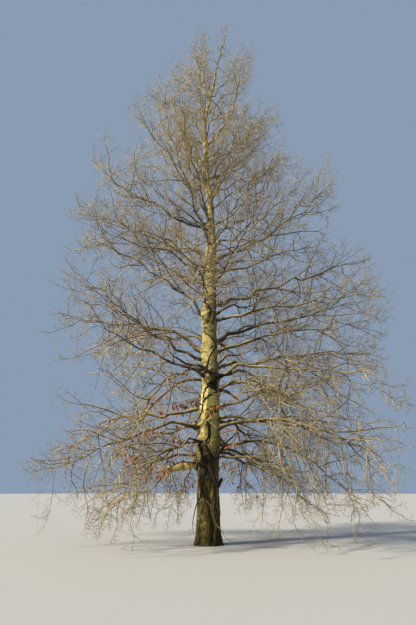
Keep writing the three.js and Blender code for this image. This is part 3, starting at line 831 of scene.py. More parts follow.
collar_swell = np.where(np.arange(len(limb_names)) < len(LIMBS), COLLAR - 1, 0)[:, None]
give_girth(limbs, parts=9, depth=0.22, knot=5, steps=LIMB_STEPS, slimmer=0.2, swell=collar_swell)
give_girth(lesser, parts=6, depth=0.19, knot=4, steps=LESSER_STEPS, slimmer=0, swell=LESSER_COLLAR - 1)
# The limbs' last colour is painted shade, nearly black, on the side turned from the light.
LIMB_BARK = bark_finish(
    "limb_bark", (0.38, 0.32, 0.135), (0.19, 0.155, 0.075), (0.05, 0.04, 0.025), 3.4, 0.004,
    (0.055, 0.043, 0.025), (0.70, 0.05),
)

SIDES_OF_TREE = {
    "right": [i for i, name in enumerate(limb_names) if name.startswith("right")],
    "left": [i for i, name in enumerate(limb_names) if name.startswith("left")],
    "depth": [i for i, name in enumerate(limb_names) if name[:3] in ("nea", "far", "top")],
}


def cad_nodes(kind, chosen):
    """The CAD nodes of a kind that belong to the chosen limbs."""
    named = (f"{kind}_{limb_names[i]}" for i in chosen)
    return [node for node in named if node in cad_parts]


for side, chosen in SIDES_OF_TREE.items():
    small = np.isin(lesser.limb, chosen)
    sets = [(limbs.line[chosen], limbs.radii[chosen]), (lesser.line[small], lesser.radii[small])]
    piece = made_solid(
        f"limbs_{side}", skeleton_mesh("limb_lines", sets), STEMS, Sides=12, Relief=0.9, Relief_Scale=7.0,
        Bark=LIMB_BARK,
    )
    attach(piece, "root")
    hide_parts(*cad_nodes("bough", chosen))

# The broken limb low on the left: a stub of dead limb with a ragged pale end of torn splinters, and a thin
# snag that rises from it.
BROKEN_FOOT = 0.13
BROKEN_END = 0.10
SPLINTERS = 11
SPLINTER_ROOT = 0.06  # how deep in the stub each starts
SPLINTER_LENGTH = (0.09, 0.22)
SPLINTER_RADII = (0.028, 0.018, 0.0)
SNAG_BEND = (-1.51, -0.27, 2.19)
SNAG_TIP = (-1.64, -0.25, 2.39)
SNAG_RADII = (0.030, 0.006)
stub = gnarled(smooth_line(broken_rule[None], 12), np.array([scramble(SEED, BROKEN_PLACE)]), 0.09, 5)
stub_radii = mixed(BROKEN_FOOT, BROKEN_END, np.linspace(0, 1, stub.shape[1])[None] ** 0.5)
stub_end = stub[0, -1]
end_way = unit(stub_end - stub[0, -2])
splinters = []
for i in range(SPLINTERS):
    turn = math.tau * i / SPLINTERS
    aside = np.array([-end_way[1] * math.cos(turn), end_way[0] * math.cos(turn), math.sin(turn)])
    root = stub_end - SPLINTER_ROOT * end_way + 0.66 * BROKEN_END * aside
    reach = mixed(*SPLINTER_LENGTH, swing(SEED + 5, i) + 0.5)
    splinters.append([root, root + 0.5 * reach * end_way, root + reach * end_way - 0.1 * reach * aside])
splinter_radii = np.tile(SPLINTER_RADII, (SPLINTERS, 1))
snag = smooth_line(np.array([[stub_end - 0.05 * end_way, stub_end + 0.08 * end_way, SNAG_BEND, SNAG_TIP]]), 4)
snag = gnarled(snag, np.array([scramble(SEED, BROKEN_PLACE + 1)]), 0.04, 3)
snag_radii = np.linspace(*SNAG_RADII, snag.shape[1])[None]
torn_piece = made_solid(
    "torn_wood", skeleton_mesh("splinters", [(np.array(splinters), splinter_radii)]), STEMS, Sides=5,
    Relief=0.6, Relief_Scale=30.0,
    Bark=bark_finish("torn_wood", (0.52, 0.40, 0.24), (0.40, 0.29, 0.16), (0.20, 0.13, 0.07), 14.0, 0.002),
)
stub_piece = made_solid(
    "broken_stub", skeleton_mesh("stub_line", [(stub, stub_radii), (snag, snag_radii)]), STEMS, Sides=16,
    Relief=0.6, Relief_Scale=9.0,
    Bark=bark_finish("stub_bark", (0.58, 0.49, 0.15), (0.45, 0.37, 0.12), (0.16, 0.12, 0.05), 2.4, 0.004),
)
for piece in (stub_piece, torn_piece):
    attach(piece, "root")
    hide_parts("broken_limb")

# Dark crooked branches spring from knots in the trunk's near face and cross it, forking as they go, and paler
# ones hang free of it or of a low limb. Each has its radius at foot and tip, and the places that it passes.
CROSSING = [
    (0.08, 0.055, [(-0.03, -0.3, 2.24), (-0.12, -0.42, 2.47), (-0.2, -0.5, 2.73), (-0.26, -0.5, 2.88)]),
    (0.04, 0.028, [
        (0.03, -0.3, 2.24), (0.14, -0.42, 2.47), (0, -0.46, 2.73), (-0.06, -0.48, 2.91), (0.02, -0.5, 3.18),
        (0.03, -0.5, 3.49),
    ]),
    (0.052, 0.015, [
        (0, -0.3, 2.27), (0.15, -0.42, 2.38), (0.26, -0.45, 2.5), (0.4, -0.45, 2.73), (0.59, -0.5, 2.94),
        (0.87, -0.55, 3.17),
    ]),
    (0.062, 0.045, [
        (0, -0.3, 2.27), (0.08, -0.42, 2.12), (0.18, -0.5, 1.88), (0.31, -0.5, 1.64), (0.41, -0.3, 1.86),
    ]),
    (0.055, 0.028, [(-0.03, -0.3, 2.24), (-0.12, -0.42, 2.03), (-0.17, -0.42, 1.71), (-0.21, -0.42, 1.32)]),
    (0.045, 0.025, [(0, -0.3, 2.27), (-0.21, -0.4, 2.2), (-0.29, -0.35, 2.32), (-0.37, -0.3, 2.12)]),
    (0.065, 0.018, [
        (0.3, -0.25, 5.03), (0, -0.36, 5.19), (-0.26, -0.36, 5.36), (-0.56, -0.42, 5.39), (-0.92, -0.5, 5.54),
        (-1.31, -0.6, 5.79),
    ]),
    (0.034, 0.016, [
        (-0.06, -0.34, 5.28), (0.09, -0.38, 5.74), (0.26, -0.33, 6.14), (0.09, -0.42, 6.38),
        (-0.18, -0.38, 6.57),
    ]),
    (0.06, 0.02, [
        (0.2, -0.3, 5.05), (0.46, -0.33, 5.08), (0.69, -0.38, 5.09), (1.04, -0.5, 5.18), (1.48, -0.6, 4.99),
        (1.78, -0.7, 4.71),
    ]),
    (0.09, 0.085, [(0.2, -0.26, 5.12), (0.18, -0.33, 4.92), (0.15, -0.26, 4.72)]),
    (0.075, 0.022, [
        (0, -0.34, 4.8), (0.32, -0.36, 4.61), (0.58, -0.4, 4.54), (0.77, -0.5, 4.39), (1.01, -0.6, 4.19),
    ]),
    (0.04, 0.02, [(0.16, -0.3, 4.77), (0.04, -0.36, 4.75), (-0.1, -0.36, 4.56), (-0.16, -0.38, 4.33)]),
    (0.037, 0.02, [
        (0.42, -0.3, 4.61), (0.36, -0.3, 4.48), (0.16, -0.34, 4.47), (-0.03, -0.36, 4.34),
        (-0.17, -0.34, 4.17), (-0.19, -0.36, 3.9), (-0.29, -0.34, 3.67),
    ]),
    (0.034, 0.02, [(0.28, -0.14, 4.15), (0.22, -0.35, 3.98), (0.09, -0.42, 3.84), (-0.06, -0.46, 3.64)]),
    (0.037, 0.02, [(-0.03, -0.24, 3.6), (0.06, -0.4, 3.39), (0.04, -0.44, 3.0), (-0.05, -0.46, 2.85)]),
    (0.029, 0.016, [
        (-0.1, -0.1, 7.7), (-0.1, -0.26, 7.78), (0.1, -0.3, 7.91), (0.24, -0.24, 7.89), (0.49, -0.25, 8.08),
    ]),
    (0.02, 0.01, [(-0.08, -0.08, 8.8), (0.07, -0.31, 8.94), (0.3, -0.27, 9.13), (0.57, -0.28, 9.35)]),
    (0.02, 0.01, [(-0.04, -0.12, 8.56), (0.18, -0.28, 8.31), (0.32, -0.26, 8.06)]),
    (0.02, 0.007, [(-0.21, -0.40, 1.36), (-0.37, -0.44, 1.07), (-0.42, -0.44, 0.77), (-0.45, -0.46, 0.4)]),
]
HANGING = [
    (0.06, 0.018, [
        (-0.2, -0.1, 4.98), (-0.59, -0.25, 5.0), (-0.88, -0.4, 4.88), (-1.18, -0.55, 4.61),
        (-1.55, -0.7, 4.2), (-1.79, -0.85, 3.87), (-2.14, -1.05, 3.42), (-2.48, -1.2, 2.94),
    ]),
    (0.016, 0.005, [
        (-0.1, -0.3, 1.42), (0.03, -0.4, 1.1), (0.15, -0.45, 0.85), (0.31, -0.55, 0.56), (0.6, -0.7, 0.14),
    ]),
    (0.022, 0.005, [
        (1.8, -1.6, 3.49), (2.19, -1.8, 2.55), (2.44, -2.0, 1.57), (2.47, -2.15, 0.96), (2.77, -2.25, 0.63),
        (2.93, -2.3, 0.33), (3.06, -2.35, 0.08),
    ]),
    (0.012, 0.004, [(2.93, -2.3, 0.33), (3.2, -2.35, 0.23), (3.4, -2.4, 0.14)]),
    (0.012, 0.004, [(2.46, -2.08, 1.3), (2.68, -2.1, 1.2), (2.72, -2.1, 0.9)]),
    (0.014, 0.004, [
        (2.44, -2.0, 1.57), (2.27, -2.15, 1.0), (2.36, -2.2, 0.55), (2.52, -2.25, 0.33), (2.72, -2.3, 0.12),
    ]),
    (0.018, 0.004, [
        (2.3, -2.21, 3.37), (2.59, -2.3, 2.26), (2.82, -2.4, 1.23), (3.12, -2.4, 0.99), (3.38, -2.4, 0.87),
    ]),
    (0.015, 0.004, [
        (2.92, -2.86, 3.04), (2.79, -3.01, 2.27), (2.78, -3.01, 1.77), (2.98, -3.01, 1.59),
        (3.06, -3.01, 1.42),
    ]),
    (0.018, 0.004, [
        (3.38, -3.18, 2.79), (3.42, -3.33, 2.02), (3.55, -3.33, 1.35), (3.73, -3.33, 1.11), (3.9, -3.33, 0.9),
        (3.98, -3.33, 0.71),
    ]),
    (0.018, 0.004, [
        (3.92, -3.67, 2.54), (3.76, -3.82, 1.89), (3.93, -3.82, 1.47), (4.17, -3.82, 1.24),
        (4.38, -3.82, 1.06), (4.56, -3.82, 0.87), (4.75, -3.82, 0.84),
    ]),
    (0.022, 0.006, [(-0.17, -0.36, 4.17), (-0.33, -0.58, 4.1), (-0.55, -0.72, 4.12), (-0.85, -0.85, 4.05)]),
    (0.022, 0.006, [(0.1, -0.42, 3.86), (0.0, -0.62, 3.98), (0.24, -0.7, 4.05), (0.52, -0.74, 3.98)]),
    (0.022, 0.006, [(-0.28, -0.40, 2.28), (-0.45, -0.6, 2.6), (-0.7, -0.72, 2.95), (-1.0, -0.8, 3.02)]),
    (0.014, 0.004, [
        (3.55, -3.34, 1.35), (3.43, -3.4, 0.79), (3.51, -3.4, 0.45), (3.74, -3.4, 0.4), (4.01, -3.4, 0.29),
    ]),
]
CROSSING_SEED = 701
HANGING_SEED = 751
CROSSING_GNARL = 0.035
HANGING_GNARL = 0.11
PASSING_POINTS = 25
FOOT_REACH = 0.12


def evenly(points, count):
    """A smooth line through some places, as an even number of points."""
    line = smooth_line(np.array(points, float)[None], 8)[0]
    way = np.concatenate([[0], np.cumsum(np.linalg.norm(np.diff(line, axis=0), axis=1))])
    at = np.linspace(0, way[-1], count)
    return np.stack([np.interp(at, way, line[:, axis]) for axis in range(3)], axis=1), way[-1]


def passing(table, first_seed, gnarl):
    """The stems of a table of radii and places, each gnarled by up to half a depth in metres."""
    passed = [evenly(points, PASSING_POINTS) for foot, tip, points in table]
    stems = SimpleNamespace(
        rule=np.array([line for line, length in passed]),
        length=np.array([length for line, length in passed]),
        seed=np.array([scramble(first_seed, i) for i in range(len(table))]),
        limb=np.array([owner(line[0]) for line, length in passed]),
    )
    stems.line = gnarled(stems.rule, stems.seed, gnarl, knot=3)
    ends = np.array([(foot, tip) for foot, tip, points in table])
    stems.radii = mixed(ends[:, :1], ends[:, 1:], np.linspace(0, 1, PASSING_POINTS)[None] ** 1.3)
    return stems


crossing = passing(CROSSING, CROSSING_SEED, CROSSING_GNARL)
near_limbs = np.array([limb_names.index(name) for name in ("near_01", "near_02", "near_03")])
crossing.limb = near_limbs[np.searchsorted((3.4, 6.6), crossing.line[:, 0, 2])]  # by height
hanging = passing(HANGING, HANGING_SEED, HANGING_GNARL)
# A side branch's foot moves on to the branch that it hangs from, which the gnarling has bent away from it.
# The move fades out towards the tip.
for i, line in enumerate(hanging.line):
    offsets = np.delete(hanging.line, i, axis=0).reshape(-1, 3) - line[0]
    nearest = offsets[np.linalg.norm(offsets, axis=1).argmin()]
    if np.linalg.norm(nearest) < FOOT_REACH:
        hanging.line[i] = line + nearest * np.linspace(1, 0, PASSING_POINTS)[:, None]
crossing_piece = made_solid(
    "crossing_branches", skeleton_mesh("crossing_lines", [(crossing.line, crossing.radii)]), STEMS, Sides=8,
    Relief=0.8, Relief_Scale=14.0,
    Bark=bark_finish(
        "shaded_bark", (0.016, 0.013, 0.009), (0.011, 0.009, 0.006), (0.006, 0.005, 0.004), 5.0, 0.003,
    ),
)
# The hanging branches' last colour is painted shade on their side turned from the light.
hanging_piece = made_solid(
    "hanging_branches", skeleton_mesh("hanging_lines", [(hanging.line, hanging.radii)]), STEMS, Sides=6,
    Relief=0.5, Relief_Scale=14.0,
    Bark=bark_finish(
        "hanging_bark", (0.36, 0.30, 0.15), (0.22, 0.18, 0.10), (0.09, 0.07, 0.045), 3.0, 0.002,
        (0.08, 0.06, 0.04),
    ),
)
for piece in (crossing_piece, hanging_piece):
    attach(piece, "root")
    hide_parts("bough_near_01", "bough_near_02", "bough_near_03")

# Branches and twigs. Each order spreads off its parent by the same rule, turned on by the golden angle, in a
# flatter spray on a level parent. They fork on to fine shoots, which fill the crown inside its outline.
# An order's side stems stand between its first and last share of the parent, a share of it in length and
# spread off it in degrees. A parent as long as "full" or longer bears them all.
SIDE_BRANCHES = dict(count=9, first=0.14, last=0.97, length=0.48, spread=54, wobble=0.42, steps=4)
FILL_BRANCHES = dict(
    count=13, first=0.2, last=0.97, length=0.44, spread=64, wobble=0.8, steps=4, full=6.0, flat=0.8,
    shorter=0.75,
)
LESSER_BRANCHES = dict(
    count=16, first=0.3, last=0.97, length=0.44, spread=60, wobble=0.8, steps=4, full=5.0, flat=0.8,
    shorter=0.75,
)
CROSSING_BRANCHES = dict(count=4, first=0.4, last=0.98, length=0.5, spread=48, wobble=0.7, steps=4, full=2.6)
HANGING_TWIGS = dict(count=7, first=0.3, last=1.0, length=0.16, spread=50, wobble=0.9, steps=3, flat=0.9)
CROOKED_TWIGS = dict(
    count=7, first=0.15, last=0.97, length=0.44, spread=60, wobble=0.95, steps=3, flat=0.9, full=0.95,
)
LIMB_TWIGS = dict(
    count=16, first=0.3, last=1.0, length=0.17, spread=64, wobble=0.95, steps=3, full=6.0, flat=0.9,
)
SHOOTS = dict(count=4, first=0.2, last=0.98, length=0.62, spread=62, wobble=1.0, steps=2, flat=0.95)
SPURS = dict(count=3, first=0.2, last=0.98, length=0.74, spread=62, wobble=0.6, steps=1, flat=0.95)
SCATTER = dict(place=0.6, turn=60, spread=24, length=0.7)
SPREAD_CHANGE = (1.1, 0.8)
SHORTER_AT_TIP = 0.9
THINNER = 0.8  # the most of the parent's radius that a side stem has
SPRAY_FLATNESS = 0.4  # of a level parent's spray, where its order gives none
LIFT = ((2.4, 11.5), (-0.12, 0.15))  # heights, and the lift there
SHORTENED = (1, 0.7, 0.45)  # the shares of its length that a stem is tried at
SPACE_MARGIN = 0.025
WIDEST = 6.3
NEAREST = -5.45
TIP_RISE = 0.3
# No twigs hang before the low trunk's near face, apart from a leafy band.
CLEAR_FACE_TOP = 4.7
CLEAR_FACE_HALF = 0.40
CLEAR_FACE_MIDDLE = 0.02
CLEAR_FACE_START = -0.4
LEAFY_BAND = 4.02
LEAFY_BAND_HALF = 0.28
GROUND_CLEARANCE = 0.12
TRUNK_MARGIN = 0.05
THINNED_HIGH = ((12.5, 15.5), (1, 0.68))  # heights, and the share of the side stems kept there
AT_ONCE = 4000  # points looked at together
WANDER_PLACE = 11
CHILD_PLACE = 101


def branch_lines(start, way, length, seed, order):
    """Centre lines that wander and bend at each step: down low in the crown, and up to the light above."""
    (bottom, top), lifts = LIFT
    lift = mixed(*lifts, np.clip((start[:, 2] - bottom) / (top - bottom), 0, 1))
    line, heading = [start], way
    for i in range(order["steps"]):
        turn = np.stack([swing(seed, WANDER_PLACE + 3 * i + axis) for axis in range(3)], axis=1)
        turn *= order["wobble"]
        turn[:, 2] += lift
        heading = unit(heading + turn)
        line.append(line[-1] + heading * (length / order["steps"])[:, None])
    return np.stack(line, axis=1)


limb_tips = np.linalg.norm(limbs.rule[:, -1, :2], axis=1)
limb_top = limbs.rule[:, -1, 2]
trunk_steps = trunk_centre(np.linspace(0, TRUNK_TOP, LIMB_STEPS + 1))
wall_lines = [*limbs.rule, broken_rule, trunk_steps]
wall_start = np.concatenate([line[:-1] for line in wall_lines])
wall_way = np.concatenate([line[1:] - line[:-1] for line in wall_lines])
wall_owner = np.concatenate([np.full(len(line) - 1, i) for i, line in enumerate(wall_lines)])


def in_outline(points, limb):
    """Whether each point is above the ground, inside the crown's outline and outside the trunk."""
    height = points[:, 2]
    rounded = np.minimum(crown_reach(height), WIDEST)
    reach = np.where(height < limb_top[limb] + TIP_RISE, np.maximum(rounded, limb_tips[limb]), rounded)
    out = np.hypot(points[:, 0], points[:, 1])
    inside = (height > GROUND_CLEARANCE) & (height < TREE_HEIGHT) & (out < reach) & (points[:, 1] > NEAREST)
    aside = np.abs(points[:, 0] - CLEAR_FACE_MIDDLE)
    before = (points[:, 1] < CLEAR_FACE_START) & (aside < CLEAR_FACE_HALF * (1 + points[:, 1] / EYE_DISTANCE))
    inside &= ~(before & (height < CLEAR_FACE_TOP) & (np.abs(height - LEAFY_BAND) > LEAFY_BAND_HALF))
    from_trunk = np.linalg.norm(points - trunk_centre(np.clip(height, 0, TRUNK_TOP)), axis=1)
    return inside & (from_trunk > trunk_radius(np.clip(height, 0, TRUNK_TOP)) + TRUNK_MARGIN)


def in_space(points, limb):
    """Whether each point is nearer to its own limb than to the trunk or any other."""
    clear = np.zeros(len(points), bool)
    for start in range(0, len(points), AT_ONCE):
        p = points[start:start + AT_ONCE, None]
        t = np.clip(((p - wall_start) * wall_way).sum(-1) / (wall_way**2).sum(-1), 0, 1)
        gap = np.linalg.norm(p - wall_start - t[..., None] * wall_way, axis=-1)
        near = np.stack([gap[:, wall_owner == i].min(axis=1) for i in range(len(wall_lines))], axis=1)
        own = limb[start:start + AT_ONCE]
        near[own == len(LIMBS), -1] = np.inf  # the top grows on from the trunk
        rows = np.arange(len(own))
        mine = near[rows, own].copy()
        near[rows, own] = np.inf
        clear[start:start + AT_ONCE] = near.min(axis=1) > mine + SPACE_MARGIN
    return clear


def at_share(line, share):
    """The points at shares of lines, and the lines' ways there. Shares are one row for each line."""
    place = share * (line.shape[1] - 1)
    i = np.minimum(place.astype(int), line.shape[1] - 2)
    row = np.arange(len(line))[:, None]
    way = line[row, i + 1] - line[row, i]
    return line[row, i] + way * (place - i)[..., None], unit(way)


def grown(parents, order, slender, least, walled=False, place=CHILD_PLACE):
    """The branches of one order on their parents. Each is shortened until it fits, or is left out."""
    j = np.arange(order["count"])
    seed = scramble(parents.seed[:, None], place + j)
    share = mixed(order["first"], order["last"], (j + 0.5 + SCATTER["place"] * swing(seed, 1)) / len(j))
    start = at_share(parents.line, share)[0]
    kept_high = np.interp(start[..., 2], *THINNED_HIGH) if "full" in order else 1
    wanted = (swing(seed, 5) + 0.5 < parents.length[:, None] / order.get("full", 0.01) * kept_high).ravel()
    way = at_share(parents.rule, share)[1]
    turn = np.radians(GOLDEN_ANGLE * j + SCATTER["turn"] * swing(seed, 2))
    spread = np.radians(order["spread"] * mixed(*SPREAD_CHANGE, share) + SCATTER["spread"] * swing(seed, 3))
    level = unit(np.stack([-way[..., 1], way[..., 0], np.full(share.shape, 1e-6)], axis=-1))
    over = np.cross(way, level)
    depth = mixed(order.get("flat", SPRAY_FLATNESS), 1, np.abs(way[..., 2]))
    heading = unit(
        way * np.cos(spread)[..., None] + level * (np.cos(turn) * np.sin(spread))[..., None]
        + over * (np.sin(turn) * np.sin(spread) * depth)[..., None]
    )
    shorter = order.get("shorter", SHORTER_AT_TIP)
    length = parents.length[:, None] * order["length"] * np.sqrt(1 - shorter * share)
    length = (length * (1 + SCATTER["length"] * swing(seed, 4))).ravel()
    start, heading, seed = start.reshape(-1, 3), heading.reshape(-1, 3), seed.ravel()
    limb = np.repeat(parents.limb, len(j))
    fitted = np.where(wanted, 0.0, -1.0)
    line = np.zeros((len(seed), order["steps"] + 1, 3))
    for part in SHORTENED:
        left = np.flatnonzero(fitted == 0)
        tried = branch_lines(start[left], heading[left], length[left] * part, seed[left], order)
        fits = np.ones(len(left), bool)
        for i in range(1, tried.shape[1]):
            fits[fits] = in_outline(tried[fits, i], limb[left][fits])
        for i in range(1, tried.shape[1]) if walled else ():
            fits[fits] = in_space(tried[fits, i], limb[left][fits])
        fitted[left[fits]] = part
        line[left[fits]] = tried[fits]
    kept = fitted > 0
    along = (share * (parents.radii.shape[1] - 1)).astype(int)
    parent_radius = parents.radii[np.arange(len(share))[:, None], along].ravel()
    length = (length * fitted)[kept]
    return SimpleNamespace(
        rule=line[kept], line=line[kept], length=length, seed=seed[kept], limb=limb[kept],
        foot=np.minimum(THINNER * parent_radius[kept], slender * length) + least,
    )


def finished(stems, parts=1, depth=0.0, tip=0.0):
    """Gives a set of stems their radii, and rounds and gnarls those that are cut in parts."""
    if parts > 1:
        stems.line = gnarled(smooth_line(stems.rule, parts), stems.seed, depth, parts)
    share = np.linspace(0, 1, stems.line.shape[1])[None]
    stems.radii = thickness(stems, share, tip)
    return stems


def gathered(*sets):
    """Several sets of stems of one order as one."""
    fields = ("rule", "line", "radii", "length", "seed", "limb", "foot")
    return SimpleNamespace(**{name: np.concatenate([getattr(s, name) for s in sets]) for name in fields})


# Each set of branches: its parents, its order, its slenderness, whether it keeps to its own limb's space, and
# the place of its seeds. A set of twigs has the same, but for the space.
BRANCH_PARTS = 2
BRANCH_GNARL = 0.11
BRANCH_LEAST = 0.004  # metres added to each foot's radius, and a branch's radius at its tip
TWIG_LEAST = 0.004
SHOOT_LEAST = 0.003
BRANCH_SETS = [
    (limbs, SIDE_BRANCHES, 0.0095, True, CHILD_PLACE), (limbs, FILL_BRANCHES, 0.0085, False, 211),
    (lesser, LESSER_BRANCHES, 0.0085, False, 231), (crossing, CROSSING_BRANCHES, 0.0085, False, 271),
]
branches = gathered(*(
    finished(
        grown(parents, order, slender, BRANCH_LEAST, walled, place), BRANCH_PARTS, BRANCH_GNARL, BRANCH_LEAST,
    )
    for parents, order, slender, walled, place in BRANCH_SETS
))
TWIG_SETS = [
    (branches, CROOKED_TWIGS, 0.009, CHILD_PLACE), (limbs, LIMB_TWIGS, 0.010, 251),
    (lesser, LIMB_TWIGS, 0.010, 251), (hanging, HANGING_TWIGS, 0.010, 291),
]
twigs = gathered(*(
    finished(grown(parents, order, slender, TWIG_LEAST, place=place))
    for parents, order, slender, place in TWIG_SETS
))
shoots = finished(grown(twigs, SHOOTS, 0.009, SHOOT_LEAST))
spurs = finished(grown(shoots, SPURS, 0.010, SHOOT_LEAST))

# The branches' last colour is painted shade on their side turned from the light.
BRANCH_BARK = bark_finish(
    "branch_bark", (0.42, 0.35, 0.17), (0.24, 0.195, 0.11), (0.09, 0.07, 0.045), 3.0, 0.002,
    (0.075, 0.06, 0.04), (0.60, -0.05),
)
# Each tint's first colour is painted shade on the twigs' side turned from the light.
TWIG_BARKS = {
    tint: bark_finish(f"twig_bark_{tint}", *tones, 4.0, 0.001, painted_underside_shade) for tint, painted_underside_shade, *tones in (
        ("olive", (0.22, 0.18, 0.11), (0.66, 0.55, 0.24), (0.51, 0.42, 0.19), (0.30, 0.25, 0.13)),
        ("grey", (0.14, 0.115, 0.095), (0.43, 0.365, 0.245), (0.33, 0.28, 0.19), (0.19, 0.16, 0.12)),
        ("russet", (0.14, 0.095, 0.07), (0.43, 0.285, 0.15), (0.33, 0.215, 0.12), (0.19, 0.125, 0.08)),
    )
}
SPRAY_PLACE = 7


def chosen_set(stems, mask):
    return stems.line[mask], stems.radii[mask]


for side, chosen in SIDES_OF_TREE.items():
    here = np.isin(branches.limb, chosen)
    piece = made_solid(
        f"branches_{side}", skeleton_mesh("branch_lines", [chosen_set(branches, here)]), STEMS,
        Sides=4, Relief=0.4, Relief_Scale=12.0, Bark=BRANCH_BARK,
    )
    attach(piece, "root")
    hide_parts(*cad_nodes("twigs", chosen))
    for place, (tint, bark) in enumerate(TWIG_BARKS.items()):
        sets = []
        for stems in (twigs, shoots, spurs):
            spray = (scramble(stems.seed, SPRAY_PLACE) >> 5) % len(TWIG_BARKS)
            sets.append(chosen_set(stems, np.isin(stems.limb, chosen) & (spray == place)))
        piece = made_solid(
            f"twigs_{tint}_{side}", skeleton_mesh("twig_lines", sets), STEMS, Sides=3, Relief=0.0, Bark=bark,
        )
        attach(piece, "root")
        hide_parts(*cad_nodes("twigs", chosen))

# Russet and tan leaves cling to the low twigs through the winter: lobed, curled up at the edges and hanging.
LEAF_SPAN = [
    (0, 0.015), (0.14, 0.05), (0.30, 0.17), (0.41, 0.10), (0.56, 0.26), (0.68, 0.15), (0.82, 0.20), (1, 0),
]  # shares of the length, each with half the leaf's width there
LEAF_LENGTH = (0.09, 0.145)
LEAF_SAG = 0.22
LEAF_CURL = 0.45
LEAF_SCATTER = 0.3
LEAF_TURN = 2.4  # from side to side, in radians, like the next two
LEAF_DROOP = (0.9, 1.1)  # the middle one, and from least to most
LEAF_ROLL = 2.0
TAN_ABOVE = 0.1  # of a swing from -0.5 to 0.5
# Where leaves crowd: x, y, height and how many.
LEAF_SPOTS = [
    (-1.52, -1.20, 4.05, 44), (-1.11, -0.80, 3.84, 36), (-0.68, -0.80, 3.87, 40), (-0.31, -0.68, 3.86, 30),
    (-0.03, -0.66, 3.93, 30), (0.28, -0.70, 3.89, 30), (0.81, -0.40, 3.01, 22), (-2.07, -2.40, 2.38, 44),
    (-1.36, -2.40, 2.02, 30), (-0.88, -1.60, 2.19, 18), (0.94, 1.20, 2.14, 18), (-0.53, -0.80, 1.63, 12),
    (-2.19, 0.40, 4.39, 18), (1.19, 1.00, 1.72, 12), (-1.75, -2.00, 3.14, 22), (-2.65, -1.20, 2.71, 18),
    (-0.82, -0.76, 2.94, 20),
]
# The spots again round the back: degrees, and share of the leaves.
LEAF_SPOT_TURNS = [(0, 1.0), (-100, 0.5), (-150, 0.5)]


def leaf_blade():
    """One leaf of length 1 along X, as a mesh with its rib down the middle."""
    points, faces = [], []
    for along, half in LEAF_SPAN:
        sag = -LEAF_SAG * along**2
        edge = sag + LEAF_CURL * half
        points += [(along, -half, edge), (along, 0, sag), (along, half, edge)]
    for i in range(len(LEAF_SPAN) - 1):
        a = 3 * i
        faces += [(a, a + 3, a + 4, a + 1), (a + 1, a + 4, a + 5, a + 2)]
    mesh = bpy.data.meshes.new("leaf")
    mesh.from_pydata(points, [], faces)
    return placed("leaf", mesh)


def leaf_nodes():
    """Geometry Nodes that set a leaf on each point, turned and sized as the point says."""
    tree, places, leaf, blade = shaping_tree("leaves", [
        ("Places", "Geometry", None), ("Leaf", "Object", None), ("Blade", "Material", None),
    ])
    points = places.node("GeometryNodeMeshToPoints", {}, {0: places})
    turned = places.node("GeometryNodeInputNamedAttribute", {"data_type": "FLOAT_VECTOR"}, {"Name": "turned"})
    size = places.node("GeometryNodeInputNamedAttribute", {"data_type": "FLOAT"}, {"Name": "size"})
    shape = places.node("GeometryNodeObjectInfo", {}, {"Object": leaf}, out="Geometry")
    turn = places.node("FunctionNodeEulerToRotation", {}, {0: turned})
    spread = places.node(
        "GeometryNodeInstanceOnPoints", {}, {0: points, "Instance": shape, "Rotation": turn, "Scale": size},
    )
    return shaped(tree, spread, blade)


end_steps = np.concatenate([spurs.line[:, -2:], shoots.line[:, -2:]])
ends = end_steps[:, 1]
end_ways = ends - end_steps[:, 0]
end_seeds = np.concatenate([spurs.seed, shoots.seed])
end_limbs = np.concatenate([spurs.limb, shoots.limb])
clings = np.zeros(len(ends), bool)
for degrees, part in LEAF_SPOT_TURNS:
    turn = math.radians(degrees)
    for x, y, height, count in LEAF_SPOTS:
        spot = (x * math.cos(turn) - y * math.sin(turn), x * math.sin(turn) + y * math.cos(turn), height)
        gap = np.linalg.norm(ends - spot, axis=1) + LEAF_SCATTER * swing(end_seeds, 31)
        clings[np.argsort(gap, kind="stable")[:round(part * count)]] = True
LEAVES = leaf_nodes()
LEAF_TINTS = [
    bark_finish("russet_leaf", (0.40, 0.145, 0.04), (0.28, 0.095, 0.03), (0.14, 0.05, 0.02), 9.0, 0.001),
    bark_finish("tan_leaf", (0.42, 0.24, 0.085), (0.30, 0.16, 0.06), (0.16, 0.085, 0.035), 9.0, 0.001),
]
leaf = leaf_blade()
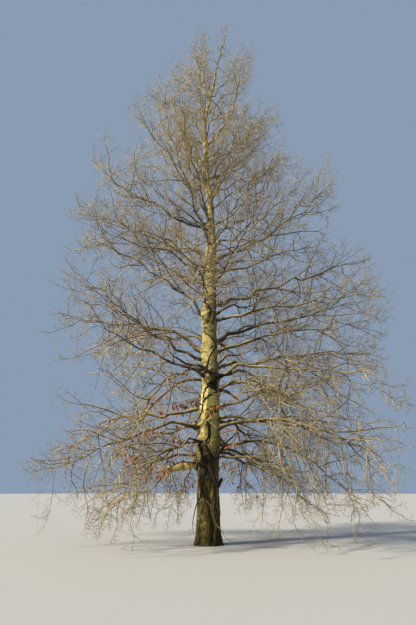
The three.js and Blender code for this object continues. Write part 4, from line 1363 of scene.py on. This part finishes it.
for tint, name in enumerate(("russet_leaves", "tan_leaves")):
    mine = clings & ((swing(end_seeds, 32) > TAN_ABOVE) == bool(tint))
    way = end_ways[mine]
    bearing = np.arctan2(way[:, 1], way[:, 0]) + LEAF_TURN * swing(end_seeds[mine], 33)
    droop = LEAF_DROOP[0] + LEAF_DROOP[1] * swing(end_seeds[mine], 34)
    roll = LEAF_ROLL * swing(end_seeds[mine], 35)
    mesh = bpy.data.meshes.new(name)
    mesh.vertices.add(int(mine.sum()))
    mesh.vertices.foreach_set("co", ends[mine].astype(np.float32).ravel())
    turned = np.stack([roll, droop, bearing], axis=1)
    turns = mesh.attributes.new("turned", "FLOAT_VECTOR", "POINT")
    turns.data.foreach_set("vector", turned.astype(np.float32).ravel())
    size = mixed(*LEAF_LENGTH, swing(end_seeds[mine], 36) + 0.5)
    mesh.attributes.new("size", "FLOAT", "POINT").data.foreach_set("value", size.astype(np.float32))
    piece = made_solid(name, placed(name, mesh), LEAVES, Leaf=leaf, Blade=LEAF_TINTS[tint])
    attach(piece, "root")
    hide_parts(*cad_nodes("twigs", sorted(set(end_limbs[mine].tolist()))))
bpy.data.objects.remove(leaf)

# The floor: a plain pale round under the tree, wide enough to reach the horizon. It is part of the stage and
# not of the tree.
FLOOR_RADIUS = 150.0
FLOOR_CORNERS = 64
PALE_FLOOR = (0.46, 0.45, 0.43, 1)
FLOOR_ROUGHNESS = 0.95
floor = bpy.data.meshes.new("floor")
floor_turns = [math.tau * i / FLOOR_CORNERS for i in range(FLOOR_CORNERS)]
floor.from_pydata(
    [(FLOOR_RADIUS * math.cos(turn), FLOOR_RADIUS * math.sin(turn), 0) for turn in floor_turns],
    [], [list(range(FLOOR_CORNERS))],
)
floor_object = placed("floor", floor)
pale = bpy.data.materials.new("pale_floor")
pale.use_nodes = True
pale.node_tree.nodes["Principled BSDF"].inputs["Base Color"].default_value = PALE_FLOOR
pale.node_tree.nodes["Principled BSDF"].inputs["Roughness"].default_value = FLOOR_ROUGHNESS
floor.materials.append(pale)
